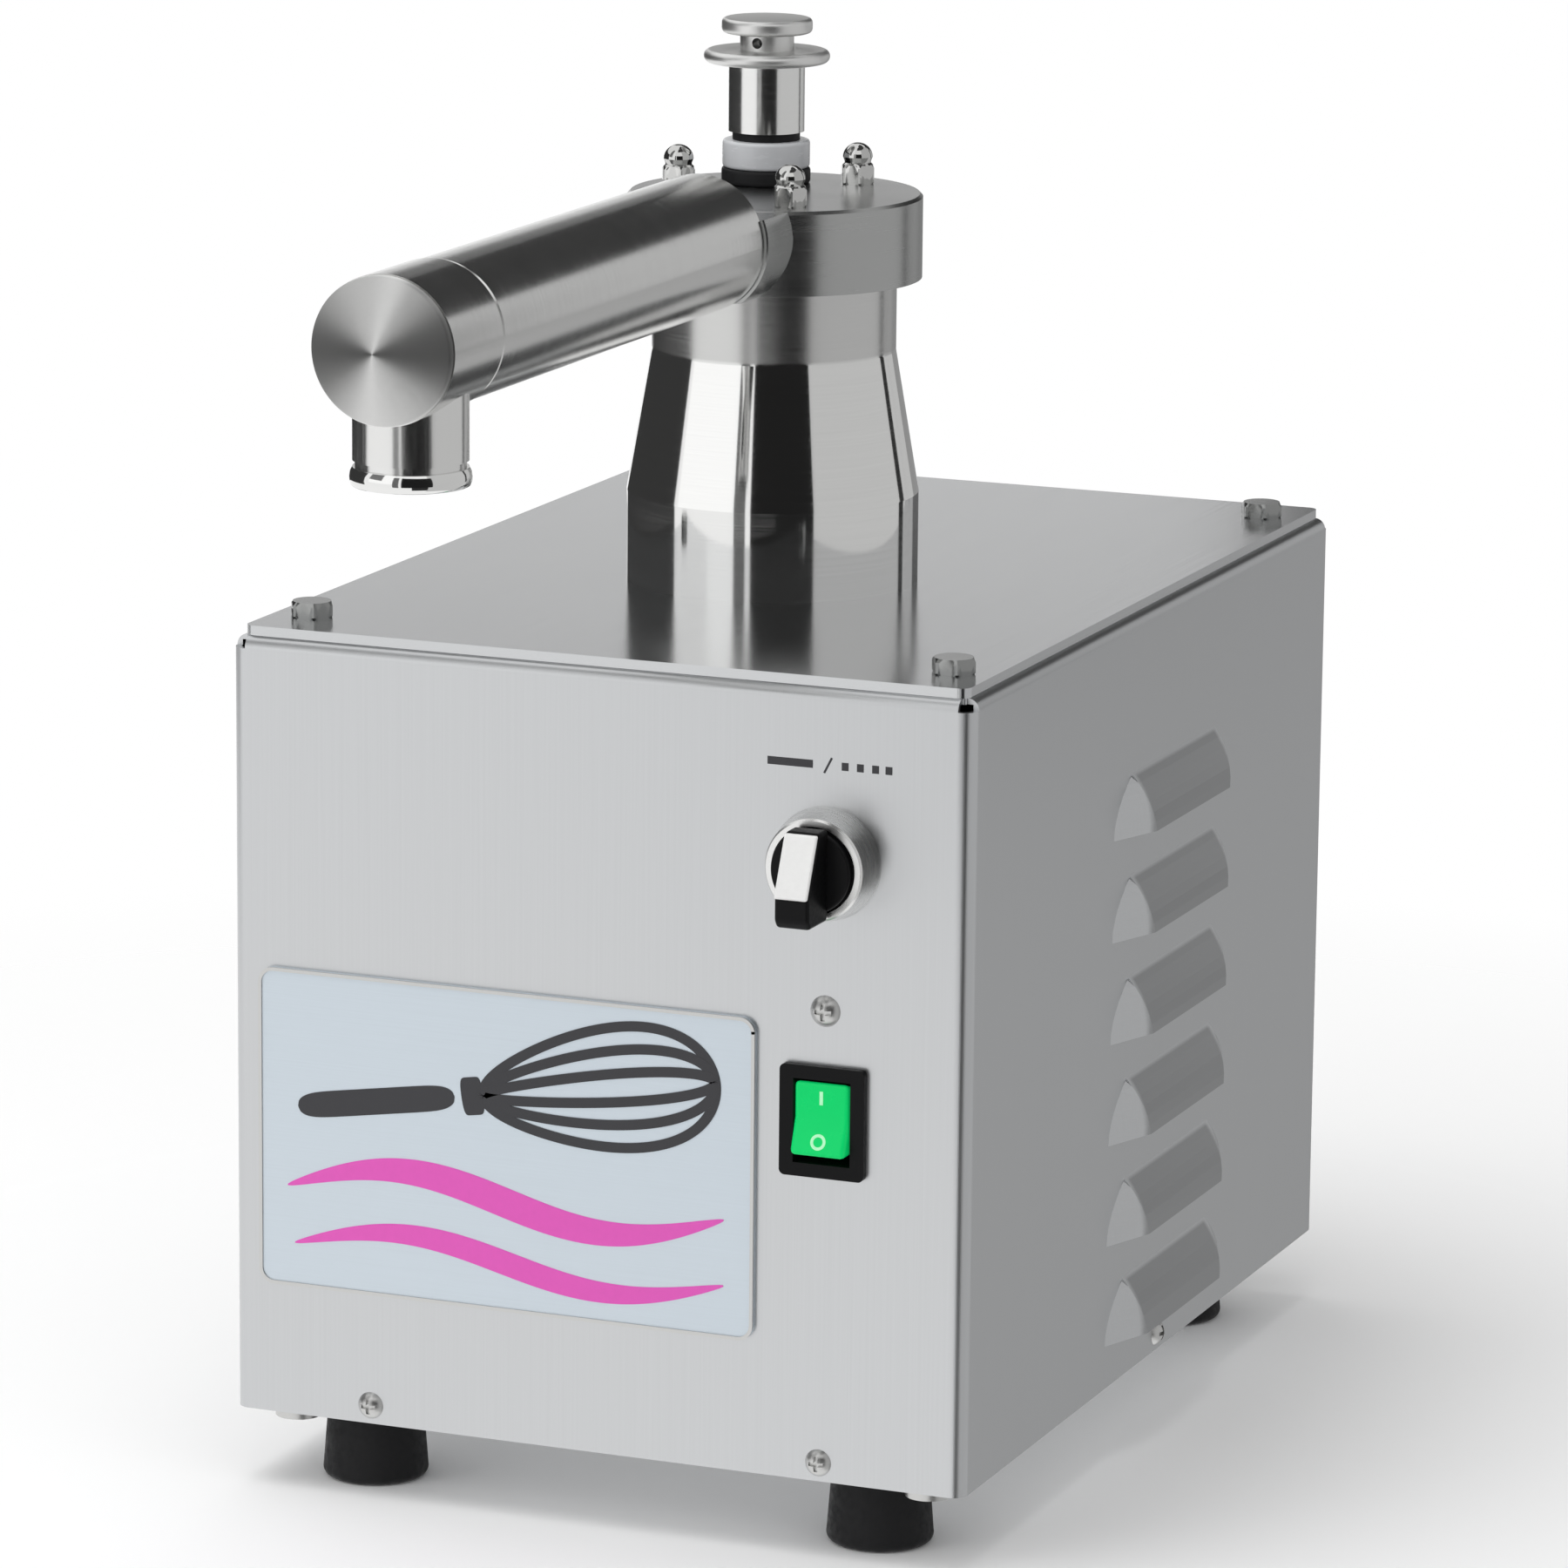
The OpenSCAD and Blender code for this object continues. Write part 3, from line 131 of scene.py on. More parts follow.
class CreamColours(PropertyGroup):
    """Base colours of the finishes."""

    sheet_steel: tint("Sheet steel", "Brushed housing", (0.62, 0.63, 0.64))
    polished_steel: tint("Polished steel", "Turned column and valve", (0.84, 0.84, 0.83))
    satin_steel: tint("Satin steel", "Outlet arm", (0.80, 0.80, 0.79))
    drum_steel: tint("Drum steel", "Pump head and lid", (0.46, 0.465, 0.46))
    dark_steel: tint("Dark steel", "Bolt heads on the top plate", (0.33, 0.335, 0.33))
    turned_steel: tint("Turned steel", "Faced end cap", (0.92, 0.92, 0.91))
    zinc: tint("Zinc", "Screws, nuts and pins", (0.62, 0.62, 0.61))
    rubber: tint("Rubber", "Feet and seals", (0.018, 0.018, 0.019))
    black_plastic: tint("Black plastic", "Selector and switch frame", (0.006, 0.006, 0.0065))
    white_plastic: tint("White plastic", "Selector marker", (0.90, 0.90, 0.89))
    green_plastic: tint("Green plastic", "Rocker", (0.002, 0.56, 0.13))
    pale_green: tint("Pale green", "Marks on the rocker", (0.45, 0.92, 0.55))
    clear_plastic: tint("Clear plastic", "Sight ring of the air valve", (0.62, 0.63, 0.65))
    plate: tint("Name plate", "Satin plate on the front", (0.64, 0.71, 0.77))
    ribbon_pink: tint("Pink ribbon", "Wave bands on the name plate", (0.83, 0.10, 0.54))
    ribbon_dark: tint("Dark ribbon", "Whisk on the name plate and signs", (0.03, 0.03, 0.035))
    gear: tint("Gear plastic", "Gears and labyrinth", (0.78, 0.77, 0.72))
    board: tint("Board", "Control board", (0.03, 0.16, 0.06))
    motor: tint("Motor", "Motor can and covers", (0.16, 0.17, 0.18))
    rotor: tint("Rotor", "Motor rotor", (0.42, 0.40, 0.37))
    capacitor: tint("Capacitor", "Motor capacitor can", (0.66, 0.67, 0.68))
    floor: tint("Floor", "Pale floor", (0.93, 0.93, 0.93))


class CreamStudio(PropertyGroup):
    """Camera and light."""

    azimuth: angle("Azimuth", "Camera's turn from the front towards the right side", 21.9002)
    elevation: angle("Elevation", "Camera's height angle above the horizon", 12.2676)
    roll: angle("Roll", "Camera's turn about its own axis", 0.5412)
    lens: FloatProperty(name="Lens", description="Focal length in millimetres", default=180.991, min=1)
    offset: FloatVectorProperty(
        name="Offset", description="The housing's bottom centre as the camera sees it",
        default=(3.3541 * MM, -141.9533 * MM, -2117.2317 * MM), size=3, subtype="TRANSLATION", precision=5
    )
    top_power: amount("Top lamp", "Power of the lamp above", 14)
    key_power: amount("Key lamp", "Power of the lamp at the left", 5)
    soft_level: amount("Soft light", "Level of the even light all round", 0.6)
    card_distance: length("Card distance", "How far the studio cards stand from the machine", 3000)
    flag_distance: length("Flag distance", "How far the flags stand from the column", 1000)
    flag_low: length("Flag's lower edge", "Height of the flags' lower edge above the floor", 44)
    flag_high: length("Flag's upper edge", "Height of the flags' upper edge above the floor", 800)
    fade_start: length("Fade start", "Distance from the middle at which the floor starts to fade", 300)
    floor_radius: length("Floor radius", "Distance from the middle at which the floor has faded away", 620)


def sizes():
    """The sizes in the scene."""
    return bpy.context.scene.cream_sizes


def colours():
    """The colours in the scene."""
    return bpy.context.scene.cream_colours


def studio():
    """The camera and light settings in the scene."""
    return bpy.context.scene.cream_studio


def centre(node):
    """Middle of a CAD node's box as an array."""
    low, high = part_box(node)
    return (np.array(low) + np.array(high)) / 2


# Shapes


def grid_quads(rows, columns, close_rows=False):
    """Quads of a grid whose columns run round and join up; close_rows joins the last row to the first."""
    row = np.arange(rows if close_rows else rows - 1)[:, None]
    column = np.arange(columns)[None, :]
    here = row * columns
    above = (row + 1) % rows * columns
    beside = (column + 1) % columns
    corners = [here + column, here + beside, above + beside, above + column]
    return np.stack(np.broadcast_arrays(*corners), axis=-1).reshape(-1, 4)


def soften(corners, radius, steps=5):
    """Rounds the inner corners of an open outline. Each corner becomes a parabola arc that leaves both
    sides at radius / tan(half the corner's angle), or just under half the side where that is shorter."""
    most = 0.48
    corners = np.asarray(corners, float)
    before = corners[:-2] - corners[1:-1]
    after = corners[2:] - corners[1:-1]
    before_len = np.linalg.norm(before, axis=1)
    after_len = np.linalg.norm(after, axis=1)
    before = before / before_len[:, None]
    after = after / after_len[:, None]
    half = np.arccos(np.clip((before * after).sum(axis=1), -1, 1)) / 2
    reach = np.minimum(radius / np.tan(half), most * np.minimum(before_len, after_len))
    start = (corners[1:-1] + before * reach[:, None])[:, None]
    end = (corners[1:-1] + after * reach[:, None])[:, None]
    t = np.linspace(0, 1, steps + 1)[None, :, None]
    arcs = (1 - t) ** 2 * start + 2 * t * (1 - t) * corners[1:-1, None] + t**2 * end
    return np.vstack([corners[:1], arcs.reshape(-1, 2), corners[-1:]])


# First and second direction across a turned piece and the direction along its axis
AXES = {"up": np.eye(3), "front": np.array([[1.0, 0, 0], [0, 0, 1], [0, -1, 0]])}


def revolved(profile, at, axis="up", closed=False):
    """Points and faces of a turned piece: each (radius, height) of the profile goes round the axis as
    at + radius * (cos a * first + sin a * second) + height * axis. A closed profile is a ring's section."""
    profile = np.asarray(profile, float)
    count = sizes().turned_segments
    a = np.arange(count) * FULL_TURN / count
    first, second, along = AXES[axis]
    around = np.cos(a)[:, None] * first + np.sin(a)[:, None] * second
    points = at + profile[:, 0, None, None] * around + profile[:, 1, None, None] * along
    return points.reshape(-1, 3), grid_quads(len(profile), count, closed)


def hexagon(angles, flats):
    """Radius of a hexagon at each angle: half the width across flats over cos of the angle to the nearest
    flat."""
    wrapped = angles % (math.pi / 3) - math.pi / 6
    return flats / 2 / np.cos(wrapped)


def hex_turned(profile, flats, at):
    """Points and faces of a hexagonal head or nut: at every height of the (radius, height) profile the radius
    is the smaller of the profile's and the hexagon's."""
    profile = np.asarray(profile, float)
    count = sizes().turned_segments
    a = np.arange(count) * FULL_TURN / count
    radius = np.minimum(profile[:, :1], hexagon(a, flats)[None, :])
    height = np.broadcast_to(profile[:, 1:], radius.shape)
    points = np.stack([radius * np.cos(a), radius * np.sin(a), height], axis=-1)
    return points.reshape(-1, 3) + at, grid_quads(len(profile), count)


def prism(outline, width):
    """Points and faces of a prism: an outline of (out, up) pairs carried along x over a width, where out
    looks to the front."""
    outline = np.asarray(outline, float)
    count = len(outline)
    end = np.column_stack([np.zeros(count), -outline[:, 0], outline[:, 1]])
    shift = np.array([width / 2, 0, 0])
    order = np.arange(count)
    following = np.roll(order, -1)
    sides = np.column_stack([order, following, following + count, order + count])
    faces = [*sides.tolist(), order.tolist(), (order + count).tolist()]
    return np.vstack([end - shift, end + shift]), faces


def ribbon(line, width, low, high):
    """Points and faces of a flat band on the front: a rectangle carried along a line of (x, z) points. Its
    half width goes to both sides along the line's normal, and it reaches from low to high out of the
    panel."""
    run = np.gradient(line, axis=0)
    run = run / np.linalg.norm(run, axis=1)[:, None]
    normal = np.column_stack([-run[:, 1], run[:, 0]])
    count = len(line)
    half = np.broadcast_to(width, count)[:, None] / 2
    left = line + normal * half
    right = line - normal * half
    flat = np.stack([left, right, right, left])
    depth = np.broadcast_to(-np.array([low, low, high, high])[:, None], (4, count))
    points = np.stack([flat[:, :, 0], depth, flat[:, :, 1]], axis=-1)
    corner = np.arange(4)[:, None] * count
    following = np.roll(corner, -1, axis=0)
    step = np.arange(count - 1)[None, :]
    quads = [corner + step, following + step, following + step + 1, corner + step + 1]
    sides = np.stack(np.broadcast_arrays(*quads), axis=-1).reshape(-1, 4)
    return points.reshape(-1, 3), np.vstack([sides, corner.T, corner.T + count - 1])


def rounded_outline(width, height, radius, steps=8):
    """Closed outline of a rounded rectangle: four corner centres plus radius times (cos a, sin a)."""
    a = np.linspace(0, math.pi / 2, steps + 1)[None, :] + np.arange(4)[:, None] * math.pi / 2
    signs = np.array([(1, 1), (-1, 1), (-1, -1), (1, -1)])
    middles = signs * (np.array([width, height]) / 2 - radius)
    arcs = middles[:, None, :] + radius * np.stack([np.cos(a), np.sin(a)], axis=-1)
    return arcs.reshape(-1, 2)


def joined(parts):
    """Several (points, faces) pairs with four-cornered faces as one."""
    starts = np.cumsum([0, *[len(points) for points, faces in parts]])
    shifted = [np.asarray(faces) + start for (points, faces), start in zip(parts, starts)]
    return np.vstack([points for points, faces in parts]), np.vstack(shifted)


def moved(shape, at):
    """A shape at another place."""
    points, faces = shape
    return points + at, faces


# A bevel rounds edges that are sharper than this
SOFT_EDGE = math.radians(20)


def build(name, shape, material, body, replaced=(), sharp=40, bevel=0.0):
    """Makes a mesh object from (points, faces), joins doubled points, turns its faces outwards, shades it
    smooth between edges sharper than the given angle, and lets it ride on a body of the part. A bevel rounds
    the edges."""
    points, faces = shape
    mesh = bpy.data.meshes.new(name)
    faces = faces.tolist() if isinstance(faces, np.ndarray) else faces
    mesh.from_pydata(points.tolist(), [], faces)
    mesh.update()
    piece = bpy.data.objects.new(name, mesh)
    bpy.context.scene.collection.objects.link(piece)
    work = bmesh.new()
    work.from_mesh(mesh)
    bmesh.ops.remove_doubles(work, verts=work.verts, dist=1e-7)
    bmesh.ops.dissolve_degenerate(work, edges=work.edges, dist=1e-8)
    bmesh.ops.recalc_face_normals(work, faces=work.faces)
    work.to_mesh(mesh)
    work.free()
    mesh.shade_smooth()
    if bevel:
        soft = piece.modifiers.new("soft_edges", "BEVEL")
        soft.width = bevel
        soft.segments = 3
        soft.limit_method = "ANGLE"
        soft.angle_limit = SOFT_EDGE
        soft.harden_normals = True
    else:
        mesh.set_sharp_from_angle(angle=math.radians(sharp))
    mesh.materials.append(material)
    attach(piece, body)
    if replaced:
        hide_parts(*replaced)
    return piece


# Finishes


def add_node(tree, kind, inputs=None, **settings):
    """A new shader node with its settings, and with values for its inputs by their name or number."""
    node = tree.nodes.new("ShaderNode" + kind)
    for name, value in settings.items():
        setattr(node, name, value)
    for socket, value in (inputs or {}).items():
        node.inputs[socket].default_value = value
    return node


def shader_of(material):
    """The Principled node of a material."""
    return material.node_tree.nodes["Principled BSDF"]


def set_shader(material, **inputs):
    """Sets values on a material's Principled node, whose socket names are written with low lines."""
    for name, value in inputs.items():
        shader_of(material).inputs[name.replace("_", " ")].default_value = value


def new_finish(name, **inputs):
    """A new material with values for its Principled node."""
    material = bpy.data.materials.new(name)
    material.use_nodes = True
    set_shader(material, **inputs)
    return material


def stretched_grain():
    """Shared effect: noise stretched by a scale vector, as a roughness between Low and High, a bump height
    and a tone near one."""
    name = "stretched_grain"
    if name in bpy.data.node_groups:
        return bpy.data.node_groups[name]
    group = bpy.data.node_groups.new(name, "ShaderNodeTree")
    group.interface.new_socket("Stretch", in_out="INPUT", socket_type="NodeSocketVector")
    for socket in ("Low", "High"):
        group.interface.new_socket(socket, in_out="INPUT", socket_type="NodeSocketFloat")
    for socket in ("Roughness", "Height", "Tone"):
        group.interface.new_socket(socket, in_out="OUTPUT", socket_type="NodeSocketFloat")
    inward = group.nodes.new("NodeGroupInput")
    outward = group.nodes.new("NodeGroupOutput")
    place = add_node(group, "TexCoord")
    stretch = add_node(group, "VectorMath", operation="MULTIPLY")
    noise = add_node(group, "TexNoise", {"Scale": 1, "Detail": 3, "Roughness": 0.6})
    rough = add_node(group, "MapRange", {"From Min": 0.3, "From Max": 0.7})
    tone = add_node(group, "MapRange", {"From Min": 0.25, "From Max": 0.75, "To Min": 0.96, "To Max": 1.0})
    link = group.links.new
    link(place.outputs["Object"], stretch.inputs[0])
    link(inward.outputs["Stretch"], stretch.inputs[1])
    link(stretch.outputs["Vector"], noise.inputs["Vector"])
    link(noise.outputs["Fac"], rough.inputs["Value"])
    link(inward.outputs["Low"], rough.inputs["To Min"])
    link(inward.outputs["High"], rough.inputs["To Max"])
    link(noise.outputs["Fac"], tone.inputs["Value"])
    link(rough.outputs["Result"], outward.inputs["Roughness"])
    link(noise.outputs["Fac"], outward.inputs["Height"])
    link(tone.outputs["Result"], outward.inputs["Tone"])
    return group


# Depth of the grain where its bump is 1
RELIEF = 0.2 * MM


def grained(name, colour, stretch, rough, bump, metallic=0.0):
    """A finish with grain: the stretched noise drives roughness, tone and a fine bump."""
    material = new_finish(name, Metallic=metallic)
    shader = shader_of(material)
    tree = material.node_tree
    low, high = rough
    grain = tree.nodes.new("ShaderNodeGroup")
    grain.node_tree = stretched_grain()
    grain.inputs["Stretch"].default_value = stretch
    grain.inputs["Low"].default_value = low
    grain.inputs["High"].default_value = high
    mix = add_node(tree, "Mix", {"Factor": 1, "A": (*colour, 1)}, data_type="RGBA", blend_type="MULTIPLY")
    relief = add_node(tree, "Bump", {"Strength": bump, "Distance": RELIEF})
    tree.links.new(grain.outputs["Roughness"], shader.inputs["Roughness"])
    tree.links.new(grain.outputs["Tone"], mix.inputs["B"])
    tree.links.new(mix.outputs["Result"], shader.inputs["Base Color"])
    tree.links.new(grain.outputs["Height"], relief.inputs["Height"])
    tree.links.new(relief.outputs["Normal"], shader.inputs["Normal"])
    return material


# Grain scales per metre: across the brush lines and along them
FINE = 2200
LONG = 14
FINISH_TAIL = "_finish"


def finishes(paint):
    """Every finish by its slot: (base colour, grain scale, roughness range, bump, metallic)."""
    table = {
        "sheet_steel": (paint.sheet_steel, (FINE, FINE, LONG), (0.28, 0.34), 0.012, 1),
        "pan_steel": (paint.sheet_steel, (LONG, FINE, FINE), (0.34, 0.46), 0.05, 1),
        "plate_metal": (paint.plate, (LONG, FINE, FINE), (0.30, 0.36), 0.005, 0.55),
        "foot_rubber": (paint.rubber, (500, 500, 500), (0.45, 0.75), 0.25, 0),
        "seal_rubber": (paint.rubber, (700, 700, 700), (0.35, 0.6), 0.2, 0),
        "fastener_steel": (paint.zinc, (1800, 1800, 1800), (0.3, 0.38), 0.01, 1),
        "polished_steel": (paint.polished_steel, (60, 60, 900), (0.05, 0.1), 0.004, 1),
        "column_steel": (paint.polished_steel, (20, 20, FINE), (0.05, 0.09), 0.003, 1),
        "deck_steel": (paint.sheet_steel, (FINE, LONG, FINE), (0.15, 0.2), 0.003, 1),
        "bright_steel": (paint.polished_steel, (60, 60, FINE), (0.14, 0.2), 0.003, 1),
        "drum_steel": (paint.drum_steel, (20, 20, FINE), (0.22, 0.28), 0.001, 1),
        "dark_steel": (paint.dark_steel, (20, 20, FINE), (0.16, 0.24), 0.002, 1),
        "nut_steel": (paint.zinc, (60, 60, 900), (0.05, 0.1), 0.004, 1),
        "arm_steel": (paint.satin_steel, (20, FINE, 20), (0.14, 0.22), 0.002, 1),
        "bezel_steel": (paint.polished_steel, (60, FINE, 60), (0.24, 0.3), 0.003, 1),
        "valve_steel": (paint.satin_steel, (60, 60, 900), (0.36, 0.42), 0.01, 1),
        "turned_steel": (paint.turned_steel, (900, 900, 900), (0.2, 0.3), 0.02, 1),
        "black_plastic": (paint.black_plastic, (900, 900, 900), (0.3, 0.45), 0.1, 0),
        "white_plastic": (paint.white_plastic, (700, 700, 700), (0.3, 0.45), 0.05, 0),
        "green_plastic": (paint.green_plastic, (300, 300, 300), (0.18, 0.3), 0.03, 0),
        "clear_plastic": (paint.clear_plastic, (120, 120, 500), (0.18, 0.3), 0.02, 0),
        "gear_plastic": (paint.gear, (400, 400, 400), (0.35, 0.5), 0.05, 0),
        "board_green": (paint.board, (300, 300, 300), (0.35, 0.5), 0.05, 0),
        "motor_metal": (paint.motor, (300, 300, 300), (0.4, 0.55), 0.1, 0.6),
        "rotor_metal": (paint.rotor, (100, 100, 1500), (0.3, 0.45), 0.05, 1),
        "capacitor_metal": (paint.capacitor, (600, 600, 60), (0.25, 0.4), 0.03, 1),
    }
    return {slot: grained(slot + FINISH_TAIL, *values) for slot, values in table.items()}


# Nodes whose finish differs from their slot's
NODE_FINISH = {
    "column": "column_steel",
    "pump_head": "drum_steel",
    "pump_lid": "drum_steel",
    "outlet_tube": "arm_steel",
    "outlet_head": "arm_steel",
    "selector_bezel": "bezel_steel",
    "top_plate": "deck_steel",
    "valve_sleeve": "bright_steel",
    "valve_wheel": "valve_steel",
}


def finish_of(slot):
    """The finish of a slot, which the paint operator made."""
    return bpy.data.materials[slot + FINISH_TAIL]


def enamel(name, colour):
    """Printed enamel: a plain colour with a faint mottle."""
    return grained(name, colour, (500, 500, 500), (0.28, 0.4), 0.02)


def place_parts(tree, origin):
    """Outputs X, Y and Z of the object coordinates, counted from an origin."""
    place = add_node(tree, "TexCoord")
    offset = add_node(tree, "VectorMath", {1: origin}, operation="SUBTRACT")
    parts = add_node(tree, "SeparateXYZ")
    tree.links.new(place.outputs["Object"], offset.inputs[0])
    tree.links.new(offset.outputs["Vector"], parts.inputs["Vector"])
    return parts.outputs


def multiply_tone(material, mask, tone):
    """Multiplies a finish's colour by a tone where the mask output is one."""
    tree = material.node_tree
    shader = shader_of(material)
    base = shader.inputs["Base Color"].links[0].from_socket
    shade = add_node(tree, "Mix", {"B": (tone, tone, tone, 1)}, data_type="RGBA", blend_type="MULTIPLY")
    tree.links.new(mask, shade.inputs["Factor"])
    tree.links.new(base, shade.inputs["A"])
    tree.links.new(shade.outputs["Result"], shader.inputs["Base Color"])


def dull_and_shaded_neck(material, level, rougher, tone):
    """Makes a finish rougher and multiplies its colour by a tone above a level, over a millimetre. The
    roughness is the neck's satin; the darker tone is painted shade under the pump head.
    """
    tree = material.node_tree
    shader = shader_of(material)
    rough = shader.inputs["Roughness"].links[0].from_socket
    parts = place_parts(tree, (0, 0, level))
    mask = add_node(tree, "MapRange", {"From Min": 0, "From Max": 1 * MM})
    total = add_node(tree, "Math", {1: rougher}, operation="MULTIPLY_ADD")
    tree.links.new(parts["Z"], mask.inputs["Value"])
    tree.links.new(mask.outputs["Result"], total.inputs[0])
    tree.links.new(rough, total.inputs[2])
    tree.links.new(total.outputs["Value"], shader.inputs["Roughness"])
    multiply_tone(material, mask.outputs["Result"], tone)


def paint_louvre_shade(material, side, middle, half_face, tone):
    """Paints shade on the pressed louvres' faces: multiplies a finish by a tone where |x| is past the
    housing's side and |y - middle| is less than half a louvre's face."""
    tree = material.node_tree
    parts = place_parts(tree, (0, middle, 0))
    both = add_node(tree, "Math", operation="MULTIPLY")
    ramps = {"X": (side + 0.2 * MM, side + 0.8 * MM), "Y": (half_face + 1 * MM, half_face - 1 * MM)}
    for factor, (part, (plain, dark)) in zip(both.inputs, ramps.items()):
        size = add_node(tree, "Math", operation="ABSOLUTE")
        ramp = add_node(tree, "MapRange", {"From Min": plain, "From Max": dark})
        tree.links.new(parts[part], size.inputs[0])
        tree.links.new(size.outputs["Value"], ramp.inputs["Value"])
        tree.links.new(ramp.outputs["Result"], factor)
    multiply_tone(material, both.outputs["Value"], tone)


def faced_steel(middle):
    """Faced steel on the arm's end: rings about the arm's axis stretch its shine along the radius. The wedges
    of light that the rings show are half painted in, as a tone that falls with cos of twice the angle."""
    material = grained("faced_steel", colours().turned_steel, (500, 500, 500), (0.50, 0.54), 0.0, 1)
    set_shader(material, Anisotropic=1.0, Anisotropic_Rotation=0.25)
    tree = material.node_tree
    tangent = add_node(tree, "Tangent", direction_type="RADIAL", axis="Y")
    parts = place_parts(tree, middle)
    turn = add_node(tree, "Math", operation="ARCTAN2")
    twice = add_node(tree, "Math", {1: 2}, operation="MULTIPLY")
    swing = add_node(tree, "Math", operation="COSINE")
    mask = add_node(tree, "MapRange", {"From Min": -1})
    tree.links.new(tangent.outputs["Tangent"], shader_of(material).inputs["Tangent"])
    tree.links.new(parts["Z"], turn.inputs[0])
    tree.links.new(parts["X"], turn.inputs[1])
    tree.links.new(turn.outputs["Value"], twice.inputs[0])
    tree.links.new(twice.outputs["Value"], swing.inputs[0])
    tree.links.new(swing.outputs["Value"], mask.inputs["Value"])
    multiply_tone(material, mask.outputs["Result"], 0.3)
    return material


def lit_green():
    """The rocker's plastic with its lamp behind: the green glows a little."""
    green = colours().green_plastic
    material = grained("lit_green", green, (300, 300, 300), (0.18, 0.3), 0.02)
    set_shader(material, Emission_Color=(*green, 1), Emission_Strength=0.36, Specular_IOR_Level=0.15)
    return material


def mark_green():
    """The pale green of the rocker's two marks."""
    pale = colours().pale_green
    material = grained("mark_green", pale, (300, 300, 300), (0.3, 0.4), 0.02)
    set_shader(material, Emission_Color=(*pale, 1), Emission_Strength=0.2)
    return material


class CREAM_OT_paint(Operator):
    """Give every node of the part its finish"""

    bl_idname = "cream.paint"
    bl_label = "Paint the part"

    def execute(self, context):
        made = finishes(context.scene.cream_colours)
        for part in frame["record"]["subparts"]:
            node = frame["nodes"][part["node"]]
            node.data.materials.clear()
            node.data.materials.append(made[NODE_FINISH.get(part["node"], part["material_slot"])])
        for slot in ("black_plastic", "green_plastic", "seal_rubber", "foot_rubber"):
            set_shader(made[slot], Specular_IOR_Level=0.12)
        set_shader(made["deck_steel"], Coat_Weight=0.3, Coat_Roughness=0.4)
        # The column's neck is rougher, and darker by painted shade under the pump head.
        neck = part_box("pump_head")[0].z - sizes().neck_height
        dull_and_shaded_neck(made["column_steel"], neck, rougher=0.16, tone=0.76)
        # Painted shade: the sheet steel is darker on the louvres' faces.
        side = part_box("top_plate")[1].x + sizes().plate_inset
        middle = centre("top_plate")[1] + sizes().louvre_back
        paint_louvre_shade(made["sheet_steel"], side, middle, sizes().louvre_face / 2, tone=0.62)
        return {"FINISHED"}


# Dressed pieces

# Section of the spout's bead: radius and height in millimetres, from its inner lower edge round
BEAD = [
    (13.3, 0.3), (13.5, 0), (14.0, 0.15), (14.35, 1.1), (14.4, 2.2), (14.2, 3.4), (13.75, 4.3), (13.3, 4.3),
]


class CREAM_OT_arm_end(Operator):
    """Turn the arm's end cap and the bead at the spout's mouth"""

    bl_idname = "cream.arm_end"
    bl_label = "Turn the arm's end"

    def execute(self, context):
        low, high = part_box("end_cap")
        middle = centre("end_cap")
        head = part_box("outlet_head")[0]
        radius = (high.x - low.x) / 2
        outline = [(0, 0), (radius, 0), (radius, sizes().cap_rim), (0, head.y - low.y)]
        at = np.array([middle[0], head.y, middle[2]])
        cap = revolved(soften(outline, sizes().cap_round), at, "front")
        build("turned_cap", cap, faced_steel(middle), "outlet", ["end_cap"], sharp=30)
        spout = np.array([middle[0], head.y + sizes().spout_back, head.z])
        bead = revolved(np.array(BEAD) * MM, spout, closed=True)
        build("spout_bead", bead, finish_of("polished_steel"), "outlet", sharp=60)
        return {"FINISHED"}


# Half section of a cap nut up to its dome, and the dome's radius, rise and foot, all in millimetres
NUT_SECTION = [(0, 0), (4.1, 0), (4.62, 0.45), (4.62, 4.3), (4.0, 5.0), (3.45, 5.5), (3.5, 6.0)]
DOME_RADIUS = 3.9
DOME_RISE = 3.7
DOME_FOOT = 7.0
# Angles of the pump's studs from the front
STUD_TURNS = [30, 150, 270]


